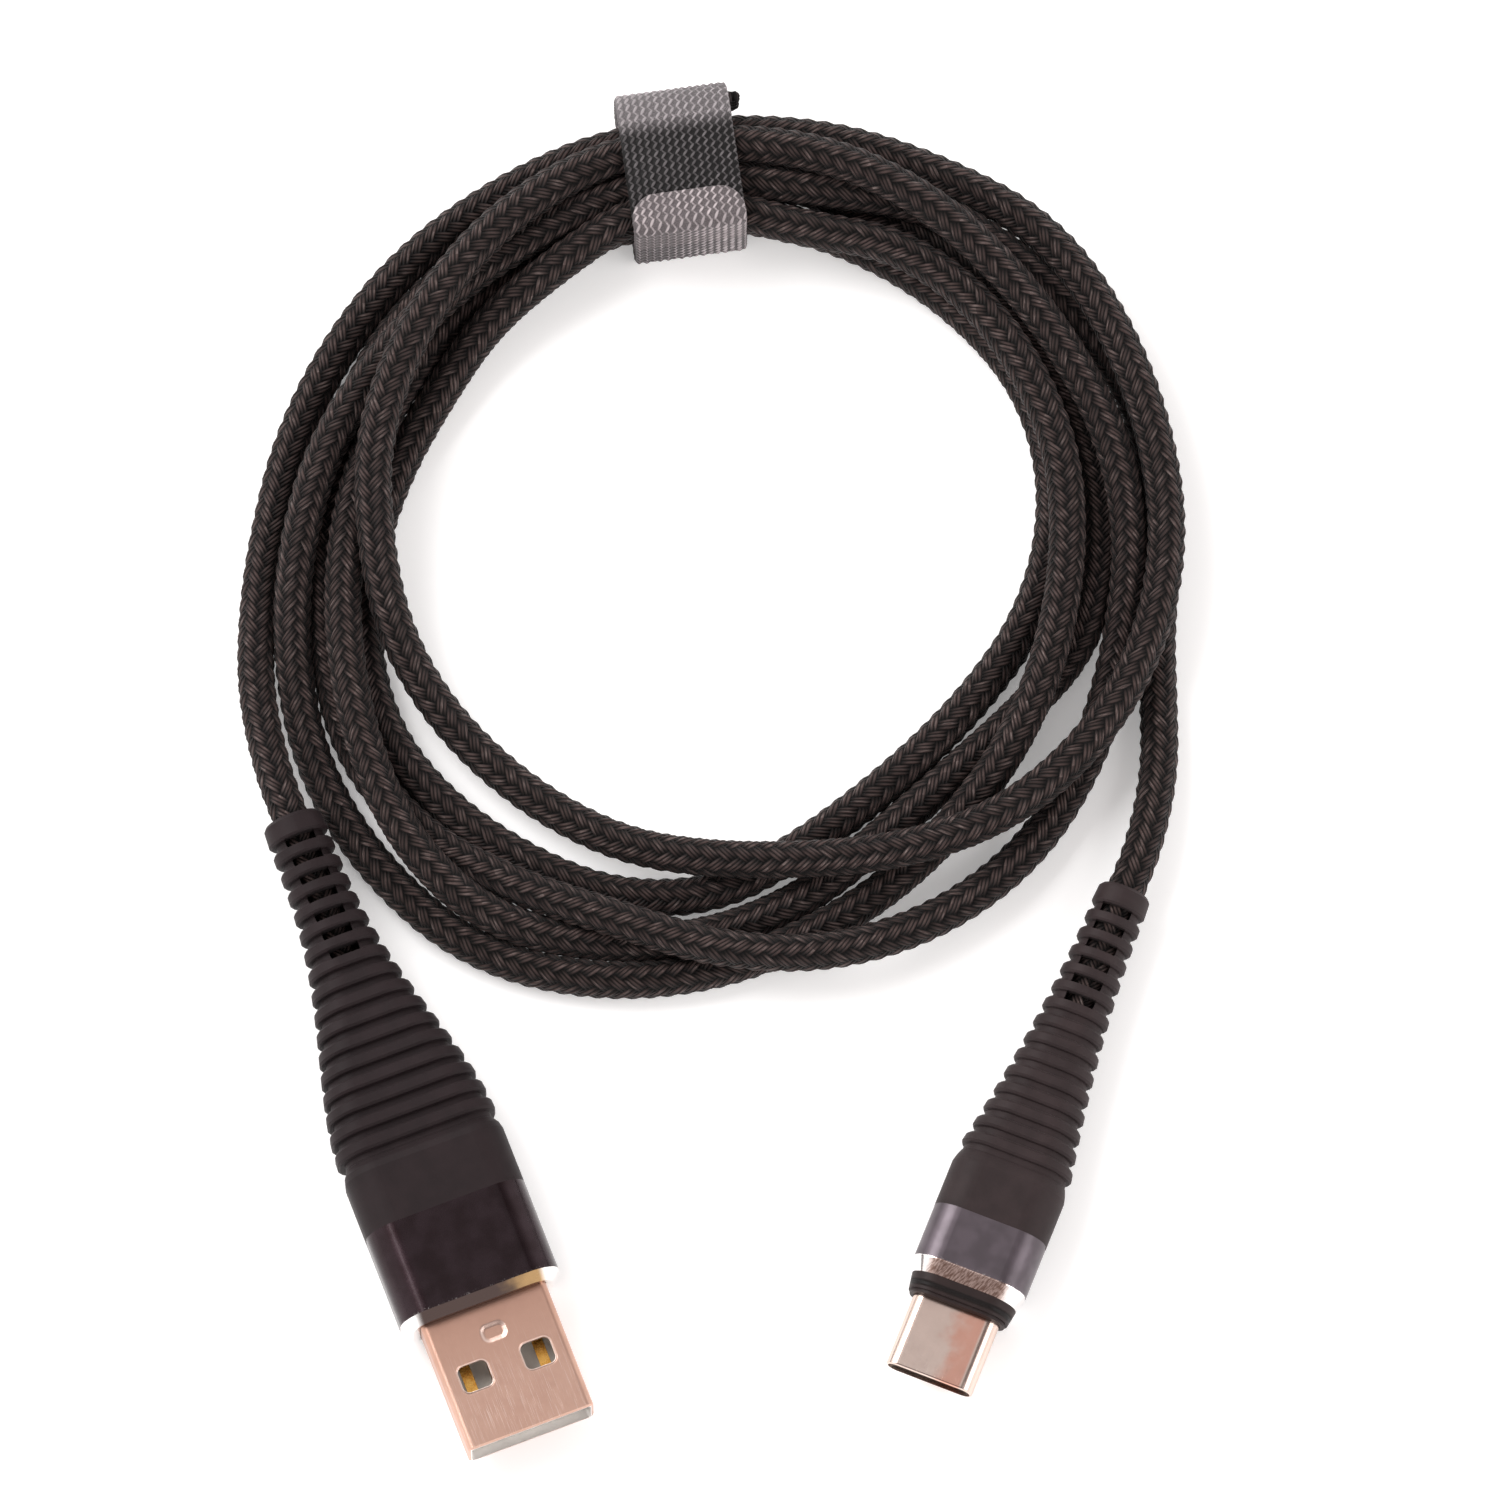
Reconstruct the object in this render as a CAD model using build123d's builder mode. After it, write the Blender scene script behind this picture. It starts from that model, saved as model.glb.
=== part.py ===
from build123d import *
import math
import os

# A braided charging cable, wound into loose turns and held by a hook-and-loop
# tie, with a USB-A plug on one end and a USB-C plug on the other. It lies on a
# table. Millimetres, +Z up, +Y towards the tie, origin on the table under the
# middle of the plugs and the tie.

# ---- driving dimensions ----------------------------------------------------

cord_r = 1.7
coil_x, coil_y = 0.7, 21.5  # middle of the coil
coil_height = 8.6

# Outer and inner outline of the coil: one radius every 30 degrees, from +X.
coil_outer = [43.4, 41.5, 40.6, 41.0, 42.0, 43.0, 43.3, 42.8, 42.0, 42.6, 44.6, 44.6]
coil_inner = [29.0, 28.4, 28.2, 28.4, 29.3, 30.2, 29.0, 26.4, 26.2, 27.8, 27.0, 28.0]

# Each plug lies flat and is measured along its own axis: 0 is the front of the
# plug's body, the shell's tip is in front and the cord behind it is negative.
usb_a_heading = -69.0  # degrees from +X, the way the tip points
usb_a_tip_x, usb_a_tip_y = -15.7, -61.8
usb_a_axis_z = 3.95
usb_a_reach = 12.2  # shell in front of the body
usb_a_width, usb_a_height = 15.2, 7.9
usb_a_housing_end = -9.6
usb_a_boot_end = -49.0

usb_c_heading = -111.5
usb_c_tip_x, usb_c_tip_y = 19.95, -56.7
usb_c_axis_z = 3.2
usb_c_reach = 6.9
usb_c_width, usb_c_height = 10.7, 6.4
usb_c_lip = -1.8  # the inner moulding shows as far back as this
usb_c_housing_end = -8.3
usb_c_boot_end = -42.0

# The tie stands across the coil. Its section is measured outwards from the
# coil (u) and up (z), about the middle of the bundle.
strap_x, strap_y = -2.4, 56.5
strap_heading = 98.0  # degrees from +X, outwards from the coil
strap_width = 10.4
strap_t = 1.1
strap_half = 6.9  # half the tie's outer size across the bundle
strap_top = 9.1
flap_t = 1.0
tip_length = 3.3
gap = 0.1  # running clearance between the tie's folding pieces

# Free runs of the cord, from the end of each boot to the inside of the coil.
run_usb_a = [(-37.64, -4.64, 3.95), (-39.42, 0.0, 3.95), (-41.2, 7.6, 3.3), (-41.1, 14.6, 2.5)]
run_usb_c = [
    (37.88, -11.18, 3.2),
    (39.7, -6.56, 3.2),
    (41.3, 0.6, 2.7),
    (40.9, 8.0, 2.2),
    (39.6, 14.0, 2.0),
]

os.makedirs("parts", exist_ok=True)


def write(piece, name):
    piece.label = name
    export_step(piece, f"parts/{name}.step")


# ---- planes ----------------------------------------------------------------


def plug_plane(tip_x, tip_y, axis_z, heading, reach):
    """Plane across a plug at the front of its body: X across, Y up, Z to the tip."""
    ux, uy = math.cos(math.radians(heading)), math.sin(math.radians(heading))
    return Plane(
        origin=(tip_x - ux * reach, tip_y - uy * reach, axis_z),
        x_dir=(-uy, ux, 0),
        z_dir=(ux, uy, 0),
    )


usb_a = plug_plane(usb_a_tip_x, usb_a_tip_y, usb_a_axis_z, usb_a_heading, usb_a_reach)
usb_c = plug_plane(usb_c_tip_x, usb_c_tip_y, usb_c_axis_z, usb_c_heading, usb_c_reach)

# Plane across the bundle through the middle of the tie: X outwards, Y up.
outward = Vector(math.cos(math.radians(strap_heading)), math.sin(math.radians(strap_heading)), 0)
strap = Plane(
    origin=(strap_x, strap_y, 0),
    x_dir=outward,
    z_dir=outward.cross(Vector(0, 0, 1)),
)


# ---- cord ------------------------------------------------------------------


def corner_radii(points):
    """0.45 of the shorter run over the tangent of half the turn, at each corner."""
    radii = []
    for before, corner, after in zip(points, points[1:], points[2:]):
        run_in = Vector(*corner) - Vector(*before)
        run_out = Vector(*after) - Vector(*corner)
        half_turn = math.radians(run_in.get_angle(run_out)) / 2
        shorter = min(run_in.length, run_out.length)
        radii.append(0.45 * shorter / math.tan(half_turn))
    return radii


def tube(points, radius):
    """Round tube along straight runs joined by tangent arcs."""
    with BuildPart() as piece:
        with BuildLine() as path:
            FilletPolyline(*points, radius=corner_radii(points))
        route = path.wires()[0]
        with BuildSketch(Plane(origin=route @ 0, z_dir=route % 0)):
            Circle(radius)
        sweep(path=route)
    section = math.pi * radius**2
    return piece.part, route.length, piece.part.volume / (section * route.length)


for name, points in (("cord_run_usb_a", run_usb_a), ("cord_run_usb_c", run_usb_c)):
    run, length, share = tube(points, cord_r)
    print(name, "radii", [round(r, 1) for r in corner_radii(points)])
    print(name, "length", round(length, 1), "volume over section times length", round(share, 4))
    write(run, name)


def coil_outline(radii):
    """Closed smooth outline through the radii, evenly spaced about the coil's middle."""
    step = 2 * math.pi / len(radii)
    points = [
        (coil_x + r * math.cos(i * step), coil_y + r * math.sin(i * step))
        for i, r in enumerate(radii)
    ]
    return points


# The turns as one closed ring, drawn in to the tie's channel where the tie holds it.
channel_half = strap_half - strap_t - gap
channel_height = strap_top - 2 * strap_t - 2 * gap
with BuildPart() as cord_coil:
    with BuildSketch():
        with BuildLine():
            Spline(*coil_outline(coil_outer), periodic=True)
        make_face()
        with BuildLine(mode=Mode.PRIVATE) as hole:
            Spline(*coil_outline(coil_inner), periodic=True)
        make_face(hole.edges(), mode=Mode.SUBTRACT)
    extrude(amount=coil_height)
    with BuildSketch(strap):
        with Locations((0, coil_height / 2)):
            Rectangle(4 * strap_half, 2 * coil_height)
        with Locations((0, strap_t + gap + channel_height / 2)):
            RectangleRounded(2 * channel_half, channel_height, 2.4, mode=Mode.SUBTRACT)
    extrude(amount=strap_width / 2 + 0.2, both=True, mode=Mode.SUBTRACT)
write(cord_coil.part, "cord_coil")


# ---- pieces that both plugs have -------------------------------------------


def cord_end(plug, start, end):
    """Straight end of the cord inside a boot."""
    with BuildPart() as piece:
        with BuildSketch(plug.offset(end)):
            Circle(cord_r)
        extrude(amount=start - end)
    return piece.part


def ferrule(plug, start, end):
    """Crimped ring on the cord, with the open seam of the crimp at its side."""
    with BuildPart() as piece:
        with BuildSketch(plug.offset(end)):
            Circle(cord_r + 0.4)
            Circle(cord_r + 0.05, mode=Mode.SUBTRACT)
            with Locations((cord_r, 0)):
                Rectangle(1.2, 0.4, mode=Mode.SUBTRACT)
        extrude(amount=start - end)
    return piece.part


def wire(plug, start, end, radius):
    """Insulated core from its solder joint at start to the cord at end, as (x, y, along)."""
    lead = (start[0], start[1], start[2] - 1.5)
    points = [plug.from_local_coords(Vector(*p)) for p in (start, lead, end)]
    with BuildPart() as piece:
        with BuildLine() as path:
            FilletPolyline(*points, radius=1.5)
        route = path.wires()[0]
        with BuildSketch(Plane(origin=route @ 0, z_dir=route % 0)):
            Circle(radius)
        sweep(path=route)
    return piece.part


wire_names = ["power_wire", "data_minus_wire", "data_plus_wire", "ground_wire"]
wire_cluster = [(-0.6, 0.6), (-0.6, -0.6), (0.6, -0.6), (0.6, 0.6)]


def boot(plug, front, end, base, flare, smooth, ribs, windows, tip_width, groove_depth, pocket):
    """Flexible strain relief, from the housing at front to its collar at end.

    base is the width and height at the housing. A smooth length is followed by ribs
    with grooves between them, of which the last ones have a window down to the cord.
    pocket holds the inner moulding's two sections, as (along, width, height, corner).
    """
    collar = 2.4
    rib_start = front - smooth
    rib_end = end + collar
    pitch = (rib_start - rib_end) / ribs
    groove_half = 0.28
    edge = 0.3  # rounding of each rib's edge

    def size(along, inset):
        share = min(1.0, max(0.0, (along - rib_end) / (rib_start - rib_end)))
        return [tip_width + (side - tip_width) * flare(share) - 2 * inset for side in base]

    # outline from the housing to the cord, as (along, how far inside the flare)
    steps = [(front, 0), (rib_start + 1.5, 0), (rib_start + 0.9, 0.15)]
    for i in range(ribs + 1):
        groove = rib_start - i * pitch
        steps += [
            (groove + groove_half + edge, 0.0 if i else 0.6 * groove_depth),
            (groove + groove_half + 0.08, 0.6 * edge if i else 0.8 * groove_depth),
            (groove + groove_half, groove_depth),
            (groove - groove_half, groove_depth),
            (groove - groove_half - 0.08, 0.6 * edge),
            (groove - groove_half - edge, 0.0),
        ]
    steps += [(end + 0.3, 0.1), (end, 0.35)]
    with BuildPart() as piece:
        for along, inset in steps:
            w, h = size(along, inset)
            with BuildSketch(plug.offset(along)):
                RectangleRounded(w, h, min(3.0 - inset, 0.495 * h))
        loft(ruled=True)
        # windows above and below the cord, in the last grooves
        for i in range(windows):
            with BuildSketch(plug.offset(rib_end + i * pitch - 0.4)):
                Rectangle(2.8, 2 * base[1])
        extrude(amount=0.95, mode=Mode.SUBTRACT)
        # room for the inner moulding, and the bore that the cord runs in
        for along, w, h, corner in pocket:
            with BuildSketch(plug.offset(along)):
                RectangleRounded(w, h, corner)
        loft(ruled=True, mode=Mode.SUBTRACT)
        with BuildSketch(plug.offset(end)):
            Circle(cord_r + 0.05)
        extrude(amount=pocket[-1][0] - end, mode=Mode.SUBTRACT)
    return piece.part


# ---- USB-A plug ------------------------------------------------------------

shell_a_w, shell_a_h, shell_a_t = 12.0, 4.5, 0.3
shell_a_back = -7.0
window_x, window_along = 3.0, 6.0

with BuildPart() as usb_a_shell:
    with BuildSketch(usb_a.offset(shell_a_back)):
        RectangleRounded(shell_a_w, shell_a_h, 0.6)
    extrude(amount=usb_a_reach - shell_a_back)
    chamfer(usb_a_shell.edges().group_by(Axis(usb_a.origin, usb_a.z_dir))[-1], length=0.15)
    with BuildSketch(usb_a.offset(shell_a_back)):
        RectangleRounded(shell_a_w - 2 * shell_a_t, shell_a_h - 2 * shell_a_t, 0.35)
    extrude(amount=usb_a_reach - shell_a_back, mode=Mode.SUBTRACT)
    # latch windows, through the wall above and below
    above = Plane(
        origin=usb_a.from_local_coords(Vector(0, 0, window_along)),
        x_dir=usb_a.x_dir,
        z_dir=usb_a.y_dir,
    )
    with BuildSketch(above):
        with Locations((-window_x, 0), (window_x, 0)):
            RectangleRounded(2.8, 2.5, 0.6)
    extrude(amount=shell_a_h, both=True, mode=Mode.SUBTRACT)
    # dimple pressed into the top wall
    with BuildSketch(above.offset(shell_a_h / 2 - 0.18)):
        with Locations((0, 3.3)):
            RectangleRounded(2.2, 1.5, 0.6)
    extrude(amount=0.3, mode=Mode.SUBTRACT)
write(usb_a_shell.part, "usb_a_shell")

tongue_front = 11.4
tongue_top = -0.1
tongue_bottom = -shell_a_h / 2 + shell_a_t + 0.02
contact_t = 0.25
data_contacts = [(-1.0, 9.4), (1.0, 9.4)]  # across, front end
power_contacts = [(-3.5, 10.4), (3.5, 10.4)]

with BuildPart() as usb_a_tongue:
    with BuildSketch(usb_a.offset(shell_a_back)):
        with Locations((0, (tongue_top + tongue_bottom) / 2)):
            RectangleRounded(11.3, tongue_top - tongue_bottom, 0.3)
    extrude(amount=tongue_front - shell_a_back)
    for across, front in power_contacts + data_contacts:
        with BuildSketch(usb_a.offset(shell_a_back)):
            with Locations((across, tongue_top)):
                Rectangle(1.04, 2 * contact_t)
        extrude(amount=front - shell_a_back, mode=Mode.SUBTRACT)
write(usb_a_tongue.part, "usb_a_tongue")


def usb_a_contact_pair(contacts):
    """Flat contacts in the tongue's grooves, with solder tails behind the shell."""
    tail = shell_a_back - 2.2
    with BuildPart() as piece:
        for across, front in contacts:
            with BuildSketch(usb_a.offset(tail)):
                with Locations((across, tongue_top - contact_t / 2)):
                    Rectangle(1.0, contact_t)
            extrude(amount=front - tail)
    return piece.part


write(usb_a_contact_pair(power_contacts), "usb_a_power_contacts")
write(usb_a_contact_pair(data_contacts), "usb_a_data_contacts")

with BuildPart() as usb_a_rear_block:
    with BuildSketch(usb_a.offset(shell_a_back)):
        with Locations((0, 0.95)):
            RectangleRounded(11.2, 1.9, 0.3)
    extrude(amount=5.5)
write(usb_a_rear_block.part, "usb_a_rear_block")

usb_a_cord_start = -15.4
for i, name in enumerate(wire_names):
    core_r = 0.5 if name in ("power_wire", "ground_wire") else 0.42
    across = (-3.5, -1.0, 1.0, 3.5)[i]
    start = (across, tongue_top + core_r, shell_a_back - 0.3)
    end = (*wire_cluster[i], usb_a_cord_start + 0.15)
    write(wire(usb_a, start, end, core_r), f"usb_a_{name}")

write(ferrule(usb_a, usb_a_cord_start, -18.6), "usb_a_ferrule")
write(cord_end(usb_a, usb_a_cord_start, usb_a_boot_end), "usb_a_cord_end")

usb_a_mould_front = -1.2
usb_a_mould_end = -18.8
with BuildPart() as usb_a_inner_mould:
    with BuildSketch(usb_a.offset(usb_a_housing_end)):
        RectangleRounded(13.4, 6.1, 2.2)
    extrude(amount=usb_a_mould_front - usb_a_housing_end)
    with BuildSketch(usb_a.offset(usb_a_housing_end)):
        RectangleRounded(12.6, 5.9, 2.2)
    with BuildSketch(usb_a.offset(usb_a_mould_end)):
        RectangleRounded(7.4, 5.2, 2.2)
    loft()
    # pocket for the shell
    with BuildSketch(usb_a.offset(shell_a_back - 0.05)):
        RectangleRounded(shell_a_w + 0.1, shell_a_h + 0.1, 0.6)
    extrude(amount=usb_a_mould_front - shell_a_back + 1, mode=Mode.SUBTRACT)
    # chamber for the solder joints and cores, narrowing to the cord
    with BuildSketch(usb_a.offset(shell_a_back)):
        RectangleRounded(9.6, 3.2, 0.8)
    with BuildSketch(usb_a.offset(usb_a_cord_start)):
        RectangleRounded(4.4, 3.8, 0.8)
    loft(mode=Mode.SUBTRACT)
    with BuildSketch(usb_a.offset(usb_a_mould_end)):
        Circle(cord_r + 0.45)
    extrude(amount=usb_a_cord_start - usb_a_mould_end, mode=Mode.SUBTRACT)
write(usb_a_inner_mould.part, "usb_a_inner_mould")

with BuildPart() as usb_a_housing:
    with BuildSketch(usb_a.offset(usb_a_housing_end)):
        RectangleRounded(usb_a_width, usb_a_height, 3.0)
    extrude(amount=-usb_a_housing_end)
    chamfer(usb_a_housing.edges().group_by(Axis(usb_a.origin, usb_a.z_dir))[-1], length=0.9)
    with BuildSketch(usb_a.offset(usb_a_housing_end)):
        RectangleRounded(13.5, 6.2, 2.25)
    extrude(amount=usb_a_mould_front + 0.05 - usb_a_housing_end, mode=Mode.SUBTRACT)
    with BuildSketch(usb_a.offset(usb_a_housing_end)):
        RectangleRounded(shell_a_w + 0.1, shell_a_h + 0.1, 0.6)
    extrude(amount=-usb_a_housing_end, mode=Mode.SUBTRACT)
write(usb_a_housing.part, "usb_a_housing")


def usb_a_flare(share):
    """Full at the base, slim for the last third."""
    eased = share**1.35
    return eased * eased * (3 - 2 * eased)


usb_a_boot = boot(
    usb_a,
    front=usb_a_housing_end,
    end=usb_a_boot_end,
    base=(usb_a_width, usb_a_height),
    flare=usb_a_flare,
    smooth=6.8,
    ribs=16,
    windows=7,
    tip_width=5.7,
    groove_depth=0.6,
    pocket=[
        (usb_a_housing_end, 12.7, 6.0, 2.2),
        (usb_a_mould_end - 0.1, 7.5, 5.3, 2.2),
    ],
)
write(usb_a_boot, "usb_a_boot")

# ---- USB-C plug ------------------------------------------------------------

shell_c_w, shell_c_h, shell_c_t = 8.25, 2.4, 0.2
shell_c_back = -5.0
mouth_floor = 1.2  # how far back the mouth reaches
insulator_front = 6.4
insulator_back = -4.5
contact_pitch = 0.5
upper_pins = [1, 4, 5, 6, 7, 9, 12]
lower_pins = [1, 4, 9, 12]


def pin_x(pin):
    """Place of a numbered pin across the mouth, which has twelve in a row."""
    return (pin - 6.5) * contact_pitch


with BuildPart() as usb_c_shell:
    with BuildSketch(usb_c.offset(shell_c_back)):
        RectangleRounded(shell_c_w, shell_c_h, 1.15)
    extrude(amount=usb_c_reach - shell_c_back)
    fillet(usb_c_shell.edges().group_by(Axis(usb_c.origin, usb_c.z_dir))[-1], radius=0.18)
    with BuildSketch(usb_c.offset(shell_c_back)):
        RectangleRounded(shell_c_w - 2 * shell_c_t, shell_c_h - 2 * shell_c_t, 0.95)
    extrude(amount=usb_c_reach - shell_c_back, mode=Mode.SUBTRACT)
write(usb_c_shell.part, "usb_c_shell")

latch_x, latch_root, latch_tip, latch_t = 3.55, 0.9, 5.8, 0.2

with BuildPart() as usb_c_insulator:
    with BuildSketch(usb_c.offset(insulator_back)):
        RectangleRounded(7.75, 1.9, 0.9)
    extrude(amount=insulator_front - insulator_back)
    # mouth for the socket's tongue
    with BuildSketch(usb_c.offset(mouth_floor)):
        RectangleRounded(6.7, 0.84, 0.1)
    extrude(amount=insulator_front - mouth_floor, mode=Mode.SUBTRACT)
    # side slots for the latch arms
    with BuildSketch(usb_c.offset(0.5)):
        with Locations((-latch_x, 0), (latch_x, 0)):
            Rectangle(0.9, 0.7)
    extrude(amount=latch_tip + 0.2 - 0.5, mode=Mode.SUBTRACT)
    # grooves for the contacts
    for side, pins in ((1, upper_pins), (-1, lower_pins)):
        for pin in pins:
            with BuildSketch(usb_c.offset(insulator_back)):
                with Locations((pin_x(pin), side * 0.5)):
                    Rectangle(0.3, 0.22)
            extrude(amount=5.9 - insulator_back, mode=Mode.SUBTRACT)
    # flats for the grounding plates
    for side in (1, -1):
        with BuildSketch(usb_c.offset(2.9)):
            with Locations((0, side * 0.95)):
                Rectangle(5.2, 0.28)
        extrude(amount=3.5, mode=Mode.SUBTRACT)
write(usb_c_insulator.part, "usb_c_insulator")


def usb_c_contact_row(pins, side):
    """Row of spring contacts, from the mouth to their tails on the circuit board."""
    with BuildPart() as piece:
        for pin in pins:
            with BuildSketch(usb_c.offset(-6.6)):
                with Locations((pin_x(pin), side * 0.5)):
                    Rectangle(0.25, 0.16)
            extrude(amount=5.8 + 6.6)
            # rounded nose that presses on the socket's tongue
            with BuildSketch(usb_c.offset(4.6)):
                with Locations((pin_x(pin), side * 0.4)):
                    Rectangle(0.25, 0.2)
            extrude(amount=0.5)
    return piece.part


write(usb_c_contact_row(upper_pins, 1), "usb_c_upper_contacts")
write(usb_c_contact_row(lower_pins, -1), "usb_c_lower_contacts")


def latch_arm(side):
    """Spring arm along one side of the mouth, with the hook that clicks into the socket."""
    with BuildPart() as piece:
        with BuildSketch(usb_c.offset(latch_root)):
            with Locations((side * latch_x, 0)):
                Rectangle(latch_t, 0.6)
        extrude(amount=latch_tip - latch_root)
        with BuildSketch(usb_c.offset(latch_tip - 0.8)):
            with Locations((side * (latch_x - 0.2), 0)):
                Rectangle(0.4, 0.6)
        extrude(amount=0.5)
    return piece.part


write(latch_arm(-1), "usb_c_latch_left")
write(latch_arm(1), "usb_c_latch_right")

with BuildPart() as usb_c_ground_springs:
    for side in (1, -1):
        with BuildSketch(usb_c.offset(3.0)):
            with Locations((0, side * 0.88)):
                Rectangle(5.0, 0.1)
        extrude(amount=3.3)
        for across in (-1.2, 1.2):
            with BuildSketch(usb_c.offset(3.4)):
                with Locations((across, side * 0.88)):
                    Rectangle(0.5, 0.3)
            extrude(amount=2.2, mode=Mode.SUBTRACT)
write(usb_c_ground_springs.part, "usb_c_ground_springs")

board_front, board_back, board_t = -4.7, -10.2, 0.8
with BuildPart() as usb_c_circuit_board:
    with BuildSketch(usb_c.offset(board_back)):
        Rectangle(6.8, board_t)
    extrude(amount=board_front - board_back)
write(usb_c_circuit_board.part, "usb_c_circuit_board")

with BuildPart() as usb_c_pull_up_resistor:
    with BuildSketch(usb_c.offset(-8.2)):
        with Locations((0, board_t / 2 + 0.18)):
            Rectangle(0.5, 0.36)
    extrude(amount=1.0)
write(usb_c_pull_up_resistor.part, "usb_c_pull_up_resistor")

usb_c_cord_start = -15.0
for i, name in enumerate(wire_names):
    core_r = 0.5 if name in ("power_wire", "ground_wire") else 0.42
    x, y = wire_cluster[i]
    side = 1 if y > 0 else -1
    start = (3 * x, side * (board_t / 2 + core_r + 0.01), -8.9)
    end = (x, y, usb_c_cord_start + 0.15)
    write(wire(usb_c, start, end, core_r), f"usb_c_{name}")

write(ferrule(usb_c, usb_c_cord_start, -16.5), "usb_c_ferrule")
write(cord_end(usb_c, usb_c_cord_start, usb_c_boot_end), "usb_c_cord_end")

usb_c_mould_end = -16.6
with BuildPart() as usb_c_inner_mould:
    # lip that shows in front of the housing, wider towards the back
    with BuildSketch(usb_c.offset(usb_c_lip)):
        RectangleRounded(10.0, 5.4, 2.5)
    with BuildSketch(usb_c.offset(-0.3)):
        RectangleRounded(9.5, 4.9, 2.3)
    loft()
    with BuildSketch(usb_c.offset(-0.3)):
        RectangleRounded(9.1, 4.5, 2.1)
    extrude(amount=0.3)
    with BuildSketch(usb_c.offset(usb_c_housing_end)):
        RectangleRounded(9.3, 5.0, 2.2)
    extrude(amount=usb_c_lip - usb_c_housing_end)
    with BuildSketch(usb_c.offset(usb_c_housing_end)):
        RectangleRounded(8.9, 4.9, 2.2)
    with BuildSketch(usb_c.offset(usb_c_mould_end)):
        RectangleRounded(6.2, 4.6, 2.2)
    loft()
    with BuildSketch(usb_c.offset(shell_c_back - 0.05)):
        RectangleRounded(shell_c_w + 0.1, shell_c_h + 0.1, 1.2)
    extrude(amount=1 - shell_c_back, mode=Mode.SUBTRACT)
    # chamber for the circuit board and cores, narrowing to the cord
    with BuildSketch(usb_c.offset(board_back - 0.3)):
        RectangleRounded(7.4, 3.2, 0.6)
    extrude(amount=shell_c_back - board_back + 0.3, mode=Mode.SUBTRACT)
    with BuildSketch(usb_c.offset(board_back - 0.3)):
        RectangleRounded(7.4, 3.2, 0.6)
    with BuildSketch(usb_c.offset(usb_c_cord_start)):
        RectangleRounded(4.2, 3.6, 0.6)
    loft(mode=Mode.SUBTRACT)
    with BuildSketch(usb_c.offset(usb_c_mould_end)):
        Circle(cord_r + 0.45)
    extrude(amount=usb_c_cord_start - usb_c_mould_end, mode=Mode.SUBTRACT)
write(usb_c_inner_mould.part, "usb_c_inner_mould")

with BuildPart() as usb_c_housing:
    with BuildSketch(usb_c.offset(usb_c_housing_end)):
        RectangleRounded(usb_c_width, usb_c_height, 2.6)
    extrude(amount=usb_c_lip - usb_c_housing_end)
    front_edges = usb_c_housing.edges().group_by(Axis(usb_c.origin, usb_c.z_dir))[-1]
    chamfer(front_edges, length=1.3, length2=0.6)
    with BuildSketch(usb_c.offset(usb_c_housing_end)):
        RectangleRounded(9.4, 5.1, 2.25)
    extrude(amount=usb_c_lip - usb_c_housing_end, mode=Mode.SUBTRACT)
write(usb_c_housing.part, "usb_c_housing")


def usb_c_flare(share):
    """Slim for half its length, then widening evenly to the base."""
    return share**1.7


usb_c_boot = boot(
    usb_c,
    front=usb_c_housing_end,
    end=usb_c_boot_end,
    base=(usb_c_width + 0.1, usb_c_height),
    flare=usb_c_flare,
    smooth=6.0,
    ribs=14,
    windows=6,
    tip_width=5.1,
    groove_depth=0.45,
    pocket=[
        (usb_c_housing_end, 9.0, 5.0, 2.2),
        (usb_c_mould_end - 0.1, 6.3, 4.7, 2.2),
    ],
)
write(usb_c_boot, "usb_c_boot")

# ---- hook-and-loop tie -----------------------------------------------------

knuckle_r = strap_t / 2
side_u = -strap_half + knuckle_r  # middle of the side flap and both fold lines
low_fold_z = knuckle_r
high_fold_z = strap_top + gap + flap_t / 2

# band: under the bundle, up its outer side and back over the top
with BuildPart() as strap_band:
    with BuildSketch(strap):
        with Locations((0, strap_top / 2)):
            RectangleRounded(2 * strap_half, strap_top, 3.2)
            RectangleRounded(
                2 * (strap_half - strap_t),
                strap_top - 2 * strap_t,
                2.2,
                mode=Mode.SUBTRACT,
            )
        # the inner side is left open for the side flap
        with Locations((-strap_half, strap_top / 2)):
            Rectangle(2 * (2 * knuckle_r + gap), strap_top, mode=Mode.SUBTRACT)
    extrude(amount=strap_width / 2, both=True)
write(strap_band.part, "strap_band")

# side flap: stands on the lower fold and closes the inner side
with BuildPart() as strap_side:
    with BuildSketch(strap):
        with Locations((side_u, low_fold_z)):
            Circle(knuckle_r)
        with Locations((side_u, (low_fold_z + high_fold_z - flap_t / 2 - gap) / 2)):
            Rectangle(flap_t, high_fold_z - flap_t / 2 - gap - low_fold_z)
    extrude(amount=strap_width / 2, both=True)
write(strap_side.part, "strap_side")

# tip flap: folds over the top of the band, with rounded corners at its free end
tip_u = side_u + tip_length
with BuildPart() as strap_tip:
    with BuildSketch(strap):
        with Locations((side_u, high_fold_z)):
            Circle(flap_t / 2)
        with Locations(((side_u + tip_u) / 2, high_fold_z)):
            Rectangle(tip_length, flap_t)
    extrude(amount=strap_width / 2, both=True)
    free_edges = strap_tip.edges().filter_by(Axis.Z).group_by(Axis(strap.origin, strap.x_dir))[-1]
    fillet(free_edges, radius=2.2)
write(strap_tip.part, "strap_tip")
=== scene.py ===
import math

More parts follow.
